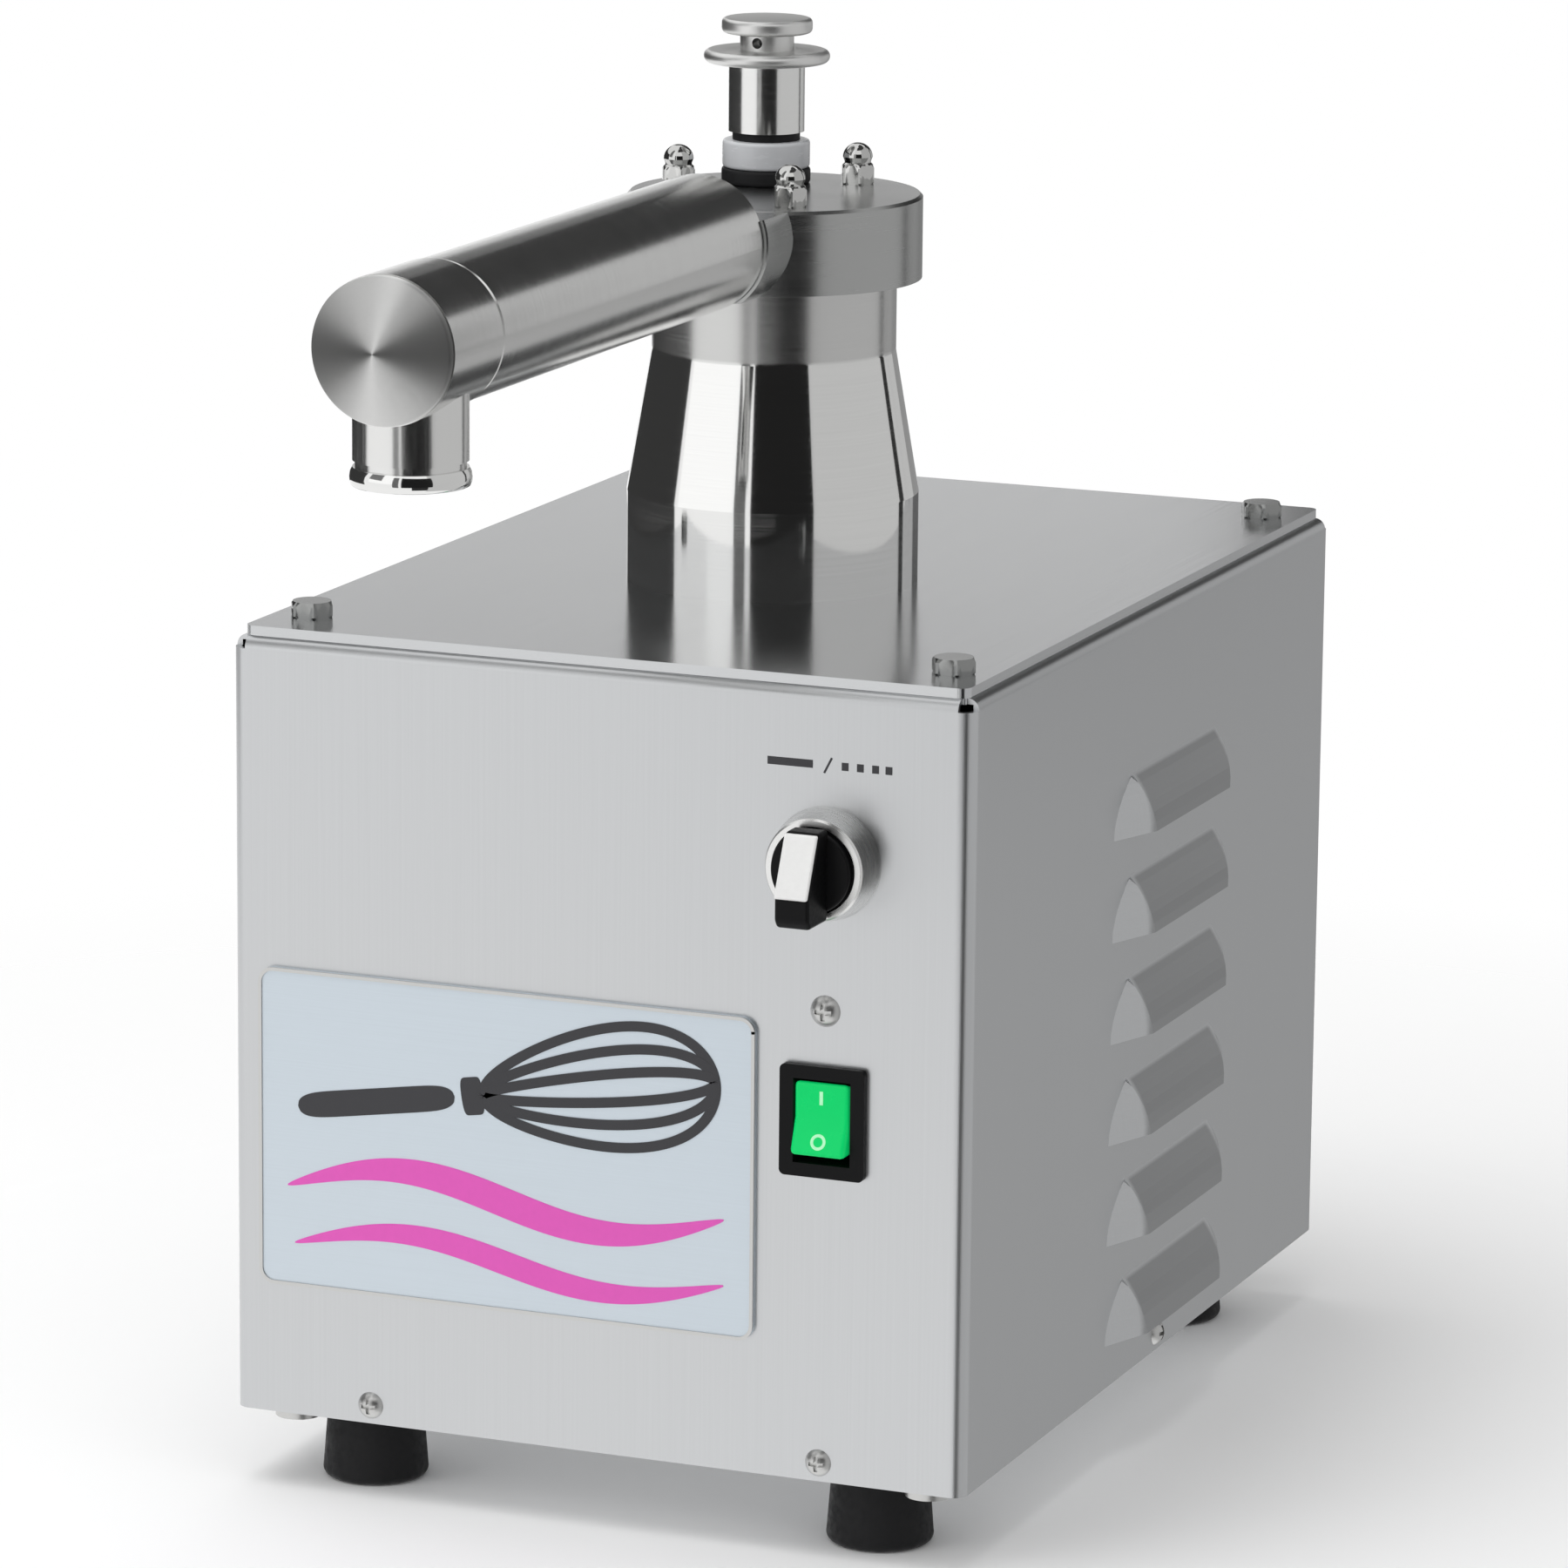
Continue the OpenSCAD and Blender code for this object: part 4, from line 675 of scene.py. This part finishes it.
class CREAM_OT_nuts(Operator):
    """Round the cap nuts on the pump lid and the bolts on the top plate"""

    bl_idname = "cream.nuts"
    bl_label = "Round the nuts and bolts"

    def execute(self, context):
        self.cap_nuts()
        self.bolt_heads()
        return {"FINISHED"}

    def cap_nuts(self):
        """Nuts on the stud circle: hexagons with a waist, and half an ellipse as dome."""
        turns = np.radians(STUD_TURNS)
        studs = sizes().stud_circle * np.column_stack([np.sin(turns), -np.cos(turns)])
        places = centre("column")[:2] + studs
        rise = np.linspace(0, math.pi / 2, 9)
        dome = np.column_stack([DOME_RADIUS * np.cos(rise), DOME_FOOT + DOME_RISE * np.sin(rise)])
        section = np.vstack([NUT_SECTION, dome]) * MM
        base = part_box("cap_nuts")[0].z
        nuts = [hex_turned(section, sizes().nut_flats, np.array([*place, base])) for place in places]
        steel = finish_of("nut_steel")
        build("dome_nuts", joined(nuts), steel, "machine", ["cap_nuts"], sharp=25)

    def bolt_heads(self):
        """Bolts at the top plate's corners: hexagons with chamfered ends, inside the bolts' own box."""
        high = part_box("corner_bolts")[1]
        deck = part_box("top_plate")[1].z
        flats = sizes().bolt_flats
        middle = centre("corner_bolts")[:2]
        inset = np.array([flats / 2 / math.cos(math.pi / 6), flats / 2])
        signs = np.array([(-1, -1), (-1, 1), (1, -1), (1, 1)])
        places = middle + signs * (np.array([high.x, high.y]) - middle - inset)
        top = (high.z - deck) / MM
        foot, corner, crown = 5.2, 5.78, 4.9
        sides = [(corner, 0.4), (corner, top - 0.9)]
        section = np.array([(0, 0), (foot, 0), *sides, (crown, top), (0, top)]) * MM
        bolts = [hex_turned(section, flats, np.array([*place, deck])) for place in places]
        steel = finish_of("dark_steel")
        build("bolt_heads", joined(bolts), steel, "machine", ["corner_bolts"], sharp=25)


class CREAM_OT_valve(Operator):
    """Turn the air valve's rings and cap with rounded edges"""

    bl_idname = "cream.valve"
    bl_label = "Turn the air valve"

    def execute(self, context):
        ring_round = sizes().ring_round
        rounds = {
            "valve_cap": ("air_valve", "polished_steel", "valve_steel", sizes().valve_cap_round),
            "clear_ring": ("machine", "clear_plastic", "clear_plastic", ring_round),
            "dark_ring": ("machine", "seal_rubber", "seal_rubber", ring_round),
        }
        for node, (body, slot, finish, radius) in rounds.items():
            low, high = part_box(node)
            outer = (high.x - low.x) / 2
            top = high.z - low.z
            at = np.array([(low.x + high.x) / 2, (low.y + high.y) / 2, low.z])
            turned = revolved(soften([(0, 0), (outer, 0), (outer, top), (0, top)], radius), at)
            build("turned_" + node, turned, finish_of(finish), body, [node])
        return {"FINISHED"}


# Sides of the selector's handle and of the white plate on its slope: (out, up) from its axis, in millimetres
HANDLE_SIDE = [(-1, 11), (5, 11), (12, -4.5), (12, -10), (10.6, -12), (-1, -12)]
MARKER_SIDE = [(4.88, 10.6), (6.2, 10.6), (13, -4.3), (11.7, -4.5)]


class CREAM_OT_selector(Operator):
    """Round the selector's bezel, disc and handle and its white plate"""

    bl_idname = "cream.selector"
    bl_label = "Round the selector"

    def execute(self, context):
        size = sizes()
        low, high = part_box("selector_bezel")
        black = finish_of("black_plastic")
        bezel = revolved(self.bezel_section(low, high), self.on_axis(high.y), "front", closed=True)
        steel = finish_of("bezel_steel")
        build("turned_bezel", bezel, steel, "machine", ["selector_bezel"], sharp=25)
        radius, thick = size.knob_radius, size.knob_disc
        disc_round = 0.6 * MM
        outline = soften([(0, 0), (radius, 0), (radius, thick), (0, thick)], disc_round)
        disc = revolved(outline, self.on_axis(low.y - size.knob_gap), "front")
        build("knob_disc", disc, black, "selector", ["selector_knob"])
        front = self.on_axis(low.y - size.knob_gap - thick)
        handle = moved(prism(np.array(HANDLE_SIDE) * MM, size.handle_width), front)
        build("knob_handle", handle, black, "selector", bevel=0.9 * MM)
        marker = moved(prism(np.array(MARKER_SIDE) * MM, size.marker_width), front)
        white = finish_of("white_plastic")
        build("knob_plate", marker, white, "selector", ["selector_marker"], bevel=0.5 * MM)
        return {"FINISHED"}

    def on_axis(self, y):
        """The point of the selector's axis at a depth."""
        point = centre("selector_bezel")
        point[1] = y
        return point

    def bezel_section(self, low, high):
        """Section of the bezel's ring in its box: a straight foot, a cone to its lip, and the bore."""
        outer = (high.x - low.x) / 2
        depth = high.y - low.y
        bore = sizes().bezel_bore
        foot = 1.4 * MM
        cone_end = (outer - 1.4 * MM, depth - 0.6 * MM)
        lip = (outer - 1.9 * MM, depth)
        return [(bore, 0), (outer, 0), (outer, foot), cone_end, lip, (bore, depth)]


ROCKER_TILT = math.radians(10)
# Marks on the rocker, in millimetres: the bar's ends and width, the ring's middle and radii, and their height
BAR_LOW = 3.6
BAR_HIGH = 7
BAR_WIDTH = 0.9
RING_UP = -5.6
RING_RADII = (1.25, 2.0)
MARK_HEIGHT = 0.12


class CREAM_OT_rocker(Operator):
    """Round the rocker and mark its two ends with a bar and a ring"""

    bl_idname = "cream.rocker"
    bl_label = "Round the rocker"

    def execute(self, context):
        size = sizes()
        half, dish = size.rocker_half, size.rocker_dish
        end = dish + half * math.tan(ROCKER_TILT)
        back = 1.5 * MM
        outline = [(dish, 0), (end, half), (-back, half - back), (-back, back - half), (end, -half)]
        rocker = self.tipped(prism(outline, size.rocker_width))
        build("lit_rocker", rocker, lit_green(), "rocker", ["rocker"], bevel=1.3 * MM)
        marks = joined([self.tipped(self.bar(dish)), self.tipped(self.ring(dish))])
        build("rocker_marks", marks, mark_green(), "rocker")
        return {"FINISHED"}

    def tipped(self, shape):
        """A shape about the rocker's pivot, tipped with its lower end out."""
        points, faces = shape
        c, s = math.cos(ROCKER_TILT), math.sin(ROCKER_TILT)
        lean = np.array([[1, 0, 0], [0, c, -s], [0, s, c]])
        pivot = centre("switch_frame")
        pivot[1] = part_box("name_plate")[1].y + sizes().rocker_pivot
        return points @ lean + pivot, faces

    def bar(self, dish):
        """The bar on the upper half, which rises from the dish by tan of the tilt."""
        up = np.array([BAR_LOW, BAR_LOW, BAR_HIGH, BAR_HIGH]) * MM
        height = np.array([0, MARK_HEIGHT, MARK_HEIGHT, 0]) * MM
        out = dish + up * math.tan(ROCKER_TILT) + height
        return prism(np.column_stack([out, up]), BAR_WIDTH * MM)

    def ring(self, dish, count=40):
        """The ring on the lower half: a rectangle goes round at (radius cos a, radius sin a) and rises from
        the dish by tan of the tilt."""
        a = np.arange(count) * FULL_TURN / count
        inner, outer = RING_RADII
        radius = np.array([inner, outer, outer, inner])[:, None] * MM
        height = np.array([0, 0, MARK_HEIGHT, MARK_HEIGHT])[:, None] * MM
        up = RING_UP * MM + radius * np.sin(a)
        out = dish - up * math.tan(ROCKER_TILT) + height
        points = np.stack([radius * np.cos(a), -out, up], axis=-1)
        return points.reshape(-1, 3), grid_quads(4, count, close_rows=True)


# Printed bands, in millimetres: how deep they sink in, their height on the plate and on the panel, the step
# between bands that cross, and their least width
PRINT_SINK = 0.05
PLATE_PRINT = 0.14
PANEL_PRINT = 0.06
LAYER = 0.03
BAND_END = 0.4
BAND_STEPS = 121


def printed(line, width, height):
    """A flat printed band of a width along (x, z) points, in millimetres."""
    return ribbon(line * MM, width * MM, -PRINT_SINK * MM, height * MM)


def wave(start, end, swing, thick):
    """A band from start to end, in millimetres, that swings to both sides as a sine of its length and is
    thickest in the middle, by a power of a half sine."""
    t = np.linspace(0, 1, BAND_STEPS)
    start, end = np.array(start), np.array(end)
    aside = np.column_stack([np.zeros_like(t), swing * np.sin(FULL_TURN * t)])
    line = start + t[:, None] * (end - start) + aside
    blunt = 0.7
    return printed(line, BAND_END + thick * np.sin(math.pi * t) ** blunt, PLATE_PRINT)


def whisk(foot, tilt):
    """A whisk that lies tilted on the plate, in millimetres and degrees: a handle, a collar and three wire
    loops. A loop runs out and back as (1 - cos 2 pi t) / 2 of its length and swings aside by sin 2 pi t times
    its half width, which grows outwards."""
    t = np.linspace(0, 1, BAND_STEPS)
    straight = np.zeros_like(t)
    out = (1 - np.cos(FULL_TURN * t)) / 2
    round_ends = np.sqrt(1 - (2 * t - 1) ** 8)
    handle_end, collar_start, collar_end, loop_end = 44, 46, 52, 116
    handle_width, collar_width, wire = 6.4, 9.4, 2.6
    near, widening = 0.6, 0.55
    handle = np.column_stack([handle_end * t, straight])
    collar = np.column_stack([collar_start + (collar_end - collar_start) * t, straight])
    bands = [(handle, BAND_END + handle_width * round_ends), (collar, BAND_END + collar_width * round_ends)]
    for half_width in (17, 10.5, 4):
        along = collar_end + (loop_end - collar_end) * out
        aside = half_width * np.sin(FULL_TURN * t) * (near + widening * out)
        bands.append((np.column_stack([along, aside]), np.full_like(t, wire)))
    c, s = math.cos(math.radians(tilt)), math.sin(math.radians(tilt))
    turn = np.array([[c, s], [-s, c]])
    heights = PLATE_PRINT + LAYER * np.arange(len(bands))
    return [printed(foot + line @ turn, width, height) for (line, width), height in zip(bands, heights)]


class CREAM_OT_plate(Operator):
    """Give the name plate its raised edge and a plain motif of a whisk over two waves"""

    bl_idname = "cream.plate"
    bl_label = "Dress the name plate"

    def execute(self, context):
        size = sizes()
        low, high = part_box("name_plate")
        at = np.array([(low.x + high.x) / 2, low.y, (low.z + high.z) / 2])
        upper = wave((-60, -15), (60, -11), swing=6, thick=7.5)
        lower = wave((-58, -30), (60, -28), swing=5, thick=6)
        pink = enamel("pink_enamel", colours().ribbon_pink)
        build("plate_waves", moved(joined([upper, lower]), at), pink, "machine")
        dark = enamel("dark_enamel", colours().ribbon_dark)
        build("plate_whisk", moved(joined(whisk((-57, 6), tilt=9)), at), dark, "machine")
        inset = 2 * size.rim_inset
        outline = rounded_outline(high.x - low.x - inset, high.z - low.z - inset, size.rim_corner)
        closed = np.vstack([outline, outline[:2]])
        rim_sink = 0.1 * MM
        rim = ribbon(closed, size.rim_width, -rim_sink, size.rim_height)
        build("plate_rim", moved(rim, at), finish_of("fastener_steel"), "machine")
        return {"FINISHED"}


def straight_line(start, end, width):
    """A straight printed line on the panel between two (x, z) ends, in millimetres."""
    t = np.linspace(0, 1, 5)[:, None]
    start, end = np.array(start), np.array(end)
    return printed(start + t * (end - start), width, PANEL_PRINT)


class CREAM_OT_marks(Operator):
    """Print the plain signs above the selector: a bar for steady running, a stroke, and dots for pulses"""

    bl_idname = "cream.marks"
    bl_label = "Print the selector's signs"

    def execute(self, context):
        at = centre("selector_bezel")
        at[1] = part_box("name_plate")[1].y
        at[2] += sizes().signs_above
        thick, thin, half_dot = 2.0, 0.55, 0.9
        bar = straight_line((-16, 0), (-4, 0), thick)
        stroke = straight_line((-1, -2), (1, 1.9), thin)
        dots = [straight_line((x - half_dot, 0), (x + half_dot, 0), thick) for x in (4.5, 8.5, 12.5, 16)]
        ink = enamel("sign_ink", colours().ribbon_dark)
        build("selector_signs", moved(joined([bar, stroke, *dots]), at), ink, "machine")
        return {"FINISHED"}


# Studio


def studio_world(world, level):
    """World light: plain white for the camera and for what metal and clear parts show, and an even soft
    level for the rest."""
    world.use_nodes = True
    tree = world.node_tree
    tree.nodes.clear()
    soft = add_node(tree, "Background", {"Color": (1, 1, 1, 1), "Strength": level})
    white = add_node(tree, "Background", {"Color": (1, 1, 1, 1), "Strength": 1})
    rays = add_node(tree, "LightPath")
    mirrored = add_node(tree, "Math", operation="ADD")
    seen = add_node(tree, "Math", operation="ADD", use_clamp=True)
    choose = add_node(tree, "MixShader")
    out = add_node(tree, "OutputWorld")
    link = tree.links.new
    link(rays.outputs["Is Glossy Ray"], mirrored.inputs[0])
    link(rays.outputs["Is Transmission Ray"], mirrored.inputs[1])
    link(mirrored.outputs["Value"], seen.inputs[0])
    link(rays.outputs["Is Camera Ray"], seen.inputs[1])
    link(seen.outputs["Value"], choose.inputs["Fac"])
    link(soft.outputs["Background"], choose.inputs[1])
    link(white.outputs["Background"], choose.inputs[2])
    link(choose.outputs["Shader"], out.inputs["Surface"])


# Far cards round the machine: name, azimuths from the front towards the right, elevations, grey level
CARDS = [
    ("soft_box", (-57, -8), (3, 16), 1.15),
    ("soft_top", (-30, -8), (16, 65), 1.15),
    ("left_shade", (-57, -30), (16, 65), 0.2),
    ("corner_line", (24, 54), (-32, -4), 0.03),
    ("right_card", (54, 150), (-50, 60), 0.58),
    ("ceiling_flag", (10, 190), (60, 86), 0.06),
    ("rear_right_low", (150, 168), (-50, -3), 0.42),
    ("rear_right_high", (150, 168), (-3, 20), 0.55),
    ("rear_right_flag", (150, 168), (20, 48), 0.04),
    ("rear_low", (168, 196), (-50, 12), 0.3),
    ("rear_flag", (168, 196), (12, 48), 0.04),
    ("rear_left_low", (196, 214), (-11, 8), 1.0),
    ("rear_left_high", (196, 214), (8, 17), 0.68),
    ("rear_left_flag", (196, 214), (17, 48), 0.15),
]

# Flags that stand so high that only what is above the deck shows them: name, azimuths, grey level
FLAGS = [
    ("left_flag", (-140, -60), 0.04),
    ("thin_flag", (-8, 1), 0.15),
    ("front_flag", (5, 54), 0.015),
    ("edge_flag", (139, 146), 0.03),
]

TURN_STEPS = 25
RISE_STEPS = 17
HEIGHT_STEPS = 5


def reflected_only(name, points, level):
    """An even grey sheet over a grid of points, which shows only in reflections."""
    rows, columns = points.shape[:2]
    mesh = bpy.data.meshes.new(name)
    wrapped = grid_quads(rows, columns).reshape(rows - 1, columns, 4)
    mesh.from_pydata(points.reshape(-1, 3).tolist(), [], wrapped[:, :-1].reshape(-1, 4).tolist())
    mesh.update()
    black = (0, 0, 0, 1)
    grey = (level, level, level, 1)
    glow = new_finish(name, Base_Color=black, Specular_IOR_Level=0, Emission_Color=grey, Emission_Strength=1)
    mesh.materials.append(glow)
    sheet = bpy.data.objects.new(name, mesh)
    bpy.context.scene.collection.objects.link(sheet)
    sheet.visible_camera = False
    sheet.visible_diffuse = False
    sheet.visible_shadow = False
    return sheet


def card(name, turn, rise, level):
    """A far card: a patch of a sphere about the machine, at
    distance * (cos rise * sin turn, -cos rise * cos turn, sin rise)."""
    turns = np.radians(np.linspace(*turn, TURN_STEPS))[None, :]
    rises = np.radians(np.linspace(*rise, RISE_STEPS))[:, None]
    x = np.cos(rises) * np.sin(turns)
    y = -np.cos(rises) * np.cos(turns)
    z = np.broadcast_to(np.sin(rises), x.shape)
    points = studio().card_distance * np.stack([x, y, z], axis=-1) + centre("housing_shell")
    return reflected_only(name, points, level)


def flag(name, turn, level):
    """A flag: a patch of a cylinder about the column. Its lower edge lies on the sight line that leaves the
    camera and mirrors in the column just above the deck."""
    turns = np.radians(np.linspace(*turn, TURN_STEPS))[None, :]
    heights = np.linspace(studio().flag_low, studio().flag_high, HEIGHT_STEPS)[:, None]
    middle = centre("column")
    x = middle[0] + studio().flag_distance * np.sin(turns)
    y = middle[1] - studio().flag_distance * np.cos(turns)
    return reflected_only(name, np.stack(np.broadcast_arrays(x, y, heights), axis=-1), level)


def fading_floor():
    """Floor finish: pale and matt, fading to nothing with the distance from the middle."""
    pale = (*colours().floor, 1)
    material = new_finish("floor_paint", Base_Color=pale, Roughness=0.9, Specular_IOR_Level=0)
    tree = material.node_tree
    place = add_node(tree, "TexCoord")
    far = add_node(tree, "VectorMath", operation="LENGTH")
    reach = {"From Min": studio().fade_start, "From Max": studio().floor_radius}
    fade = add_node(tree, "MapRange", {**reach, "To Min": 1, "To Max": 0})
    tree.links.new(place.outputs["Object"], far.inputs[0])
    tree.links.new(far.outputs["Value"], fade.inputs["Value"])
    tree.links.new(fade.outputs["Result"], shader_of(material).inputs["Alpha"])
    return material


def lamp(name, power, size, at, towards):
    """A square area lamp that looks at a point and doesn't show in polished metal."""
    data = bpy.data.lights.new(name, "AREA")
    data.energy = power
    data.size = size
    holder = bpy.data.objects.new(name, data)
    bpy.context.scene.collection.objects.link(holder)
    holder.location = at
    holder.rotation_mode = "QUATERNION"
    holder.rotation_quaternion = (Vector(towards) - Vector(at)).to_track_quat("-Z", "Y")
    holder.visible_glossy = False
    return holder


class CREAM_OT_stage(Operator):
    """Set the floor, the light and the camera"""

    bl_idname = "cream.stage"
    bl_label = "Set the stage"

    def execute(self, context):
        scene = context.scene
        scene.view_settings.view_transform = "Standard"
        if scene.world is None:
            scene.world = bpy.data.worlds.new("studio")
        studio_world(scene.world, studio().soft_level)
        for values in CARDS:
            card(*values)
        for values in FLAGS:
            flag(*values)
        bpy.ops.mesh.primitive_circle_add(
            vertices=128, radius=studio().floor_radius * 1.1, fill_type="NGON", location=(0, 0.05, 0)
        )
        floor = context.object
        floor.name = "floor"
        floor.data.materials.append(fading_floor())
        floor.visible_glossy = False
        lamp("top_lamp", studio().top_power, 1.2, at=(-0.3, -0.2, 1.6), towards=(0, 0.05, 0.1))
        lamp("key_lamp", studio().key_power, 0.9, at=(-1.1, -1.2, 0.9), towards=(0, 0, 0.2))
        self.place_camera(scene)
        return {"FINISHED"}

    def place_camera(self, scene):
        """The camera's axes: back from azimuth and elevation, right level, both rolled. Its place puts the
        housing's bottom centre at the offset."""
        a, e, roll = studio().azimuth, studio().elevation, studio().roll
        back = Vector((math.sin(a) * math.cos(e), -math.cos(a) * math.cos(e), math.sin(e)))
        right = Vector((math.cos(a), math.sin(a), 0))
        up = back.cross(right)
        c, s = math.cos(roll), math.sin(roll)
        axes = Matrix((c * right + s * up, c * up - s * right, back)).transposed()
        base = Vector((0, centre("top_plate")[1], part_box("housing_shell")[0].z))
        data = bpy.data.cameras.new("camera")
        data.lens = studio().lens
        data.sensor_width = 36
        data.clip_end = 100
        camera = bpy.data.objects.new("camera", data)
        scene.collection.objects.link(camera)
        place = axes.to_4x4()
        place.translation = base - axes @ Vector(studio().offset)
        camera.matrix_world = place
        scene.camera = camera


class CREAM_PT_machine(Panel):
    """Sidebar panel with the build steps"""

    bl_idname = "CREAM_PT_machine"
    bl_label = "Cream machine"
    bl_space_type = "VIEW_3D"
    bl_region_type = "UI"
    bl_category = "Cream machine"

    def draw(self, context):
        for step in STEPS:
            self.layout.operator(step.bl_idname)


GROUPS = [CreamSizes, CreamColours, CreamStudio]
STEPS = [
    CREAM_OT_paint, CREAM_OT_arm_end, CREAM_OT_nuts, CREAM_OT_valve, CREAM_OT_selector, CREAM_OT_rocker,
    CREAM_OT_plate, CREAM_OT_marks, CREAM_OT_stage,
]


def register():
    """Registers the classes and hangs the settings on the scene."""
    for kind in [*GROUPS, *STEPS, CREAM_PT_machine]:
        bpy.utils.register_class(kind)
    bpy.types.Scene.cream_sizes = PointerProperty(type=CreamSizes)
    bpy.types.Scene.cream_colours = PointerProperty(type=CreamColours)
    bpy.types.Scene.cream_studio = PointerProperty(type=CreamStudio)


def unregister():
    """Takes the settings and classes away again."""
    del bpy.types.Scene.cream_studio
    del bpy.types.Scene.cream_colours
    del bpy.types.Scene.cream_sizes
    for kind in reversed([*GROUPS, *STEPS, CREAM_PT_machine]):
        bpy.utils.unregister_class(kind)


def main():
    """Builds the scene step by step."""
    register()
    bpy.ops.cream.paint()
    bpy.ops.cream.arm_end()
    bpy.ops.cream.nuts()
    bpy.ops.cream.valve()
    bpy.ops.cream.selector()
    bpy.ops.cream.rocker()
    bpy.ops.cream.plate()
    bpy.ops.cream.marks()
    bpy.ops.cream.stage()


if __name__ == "__main__":
    main()
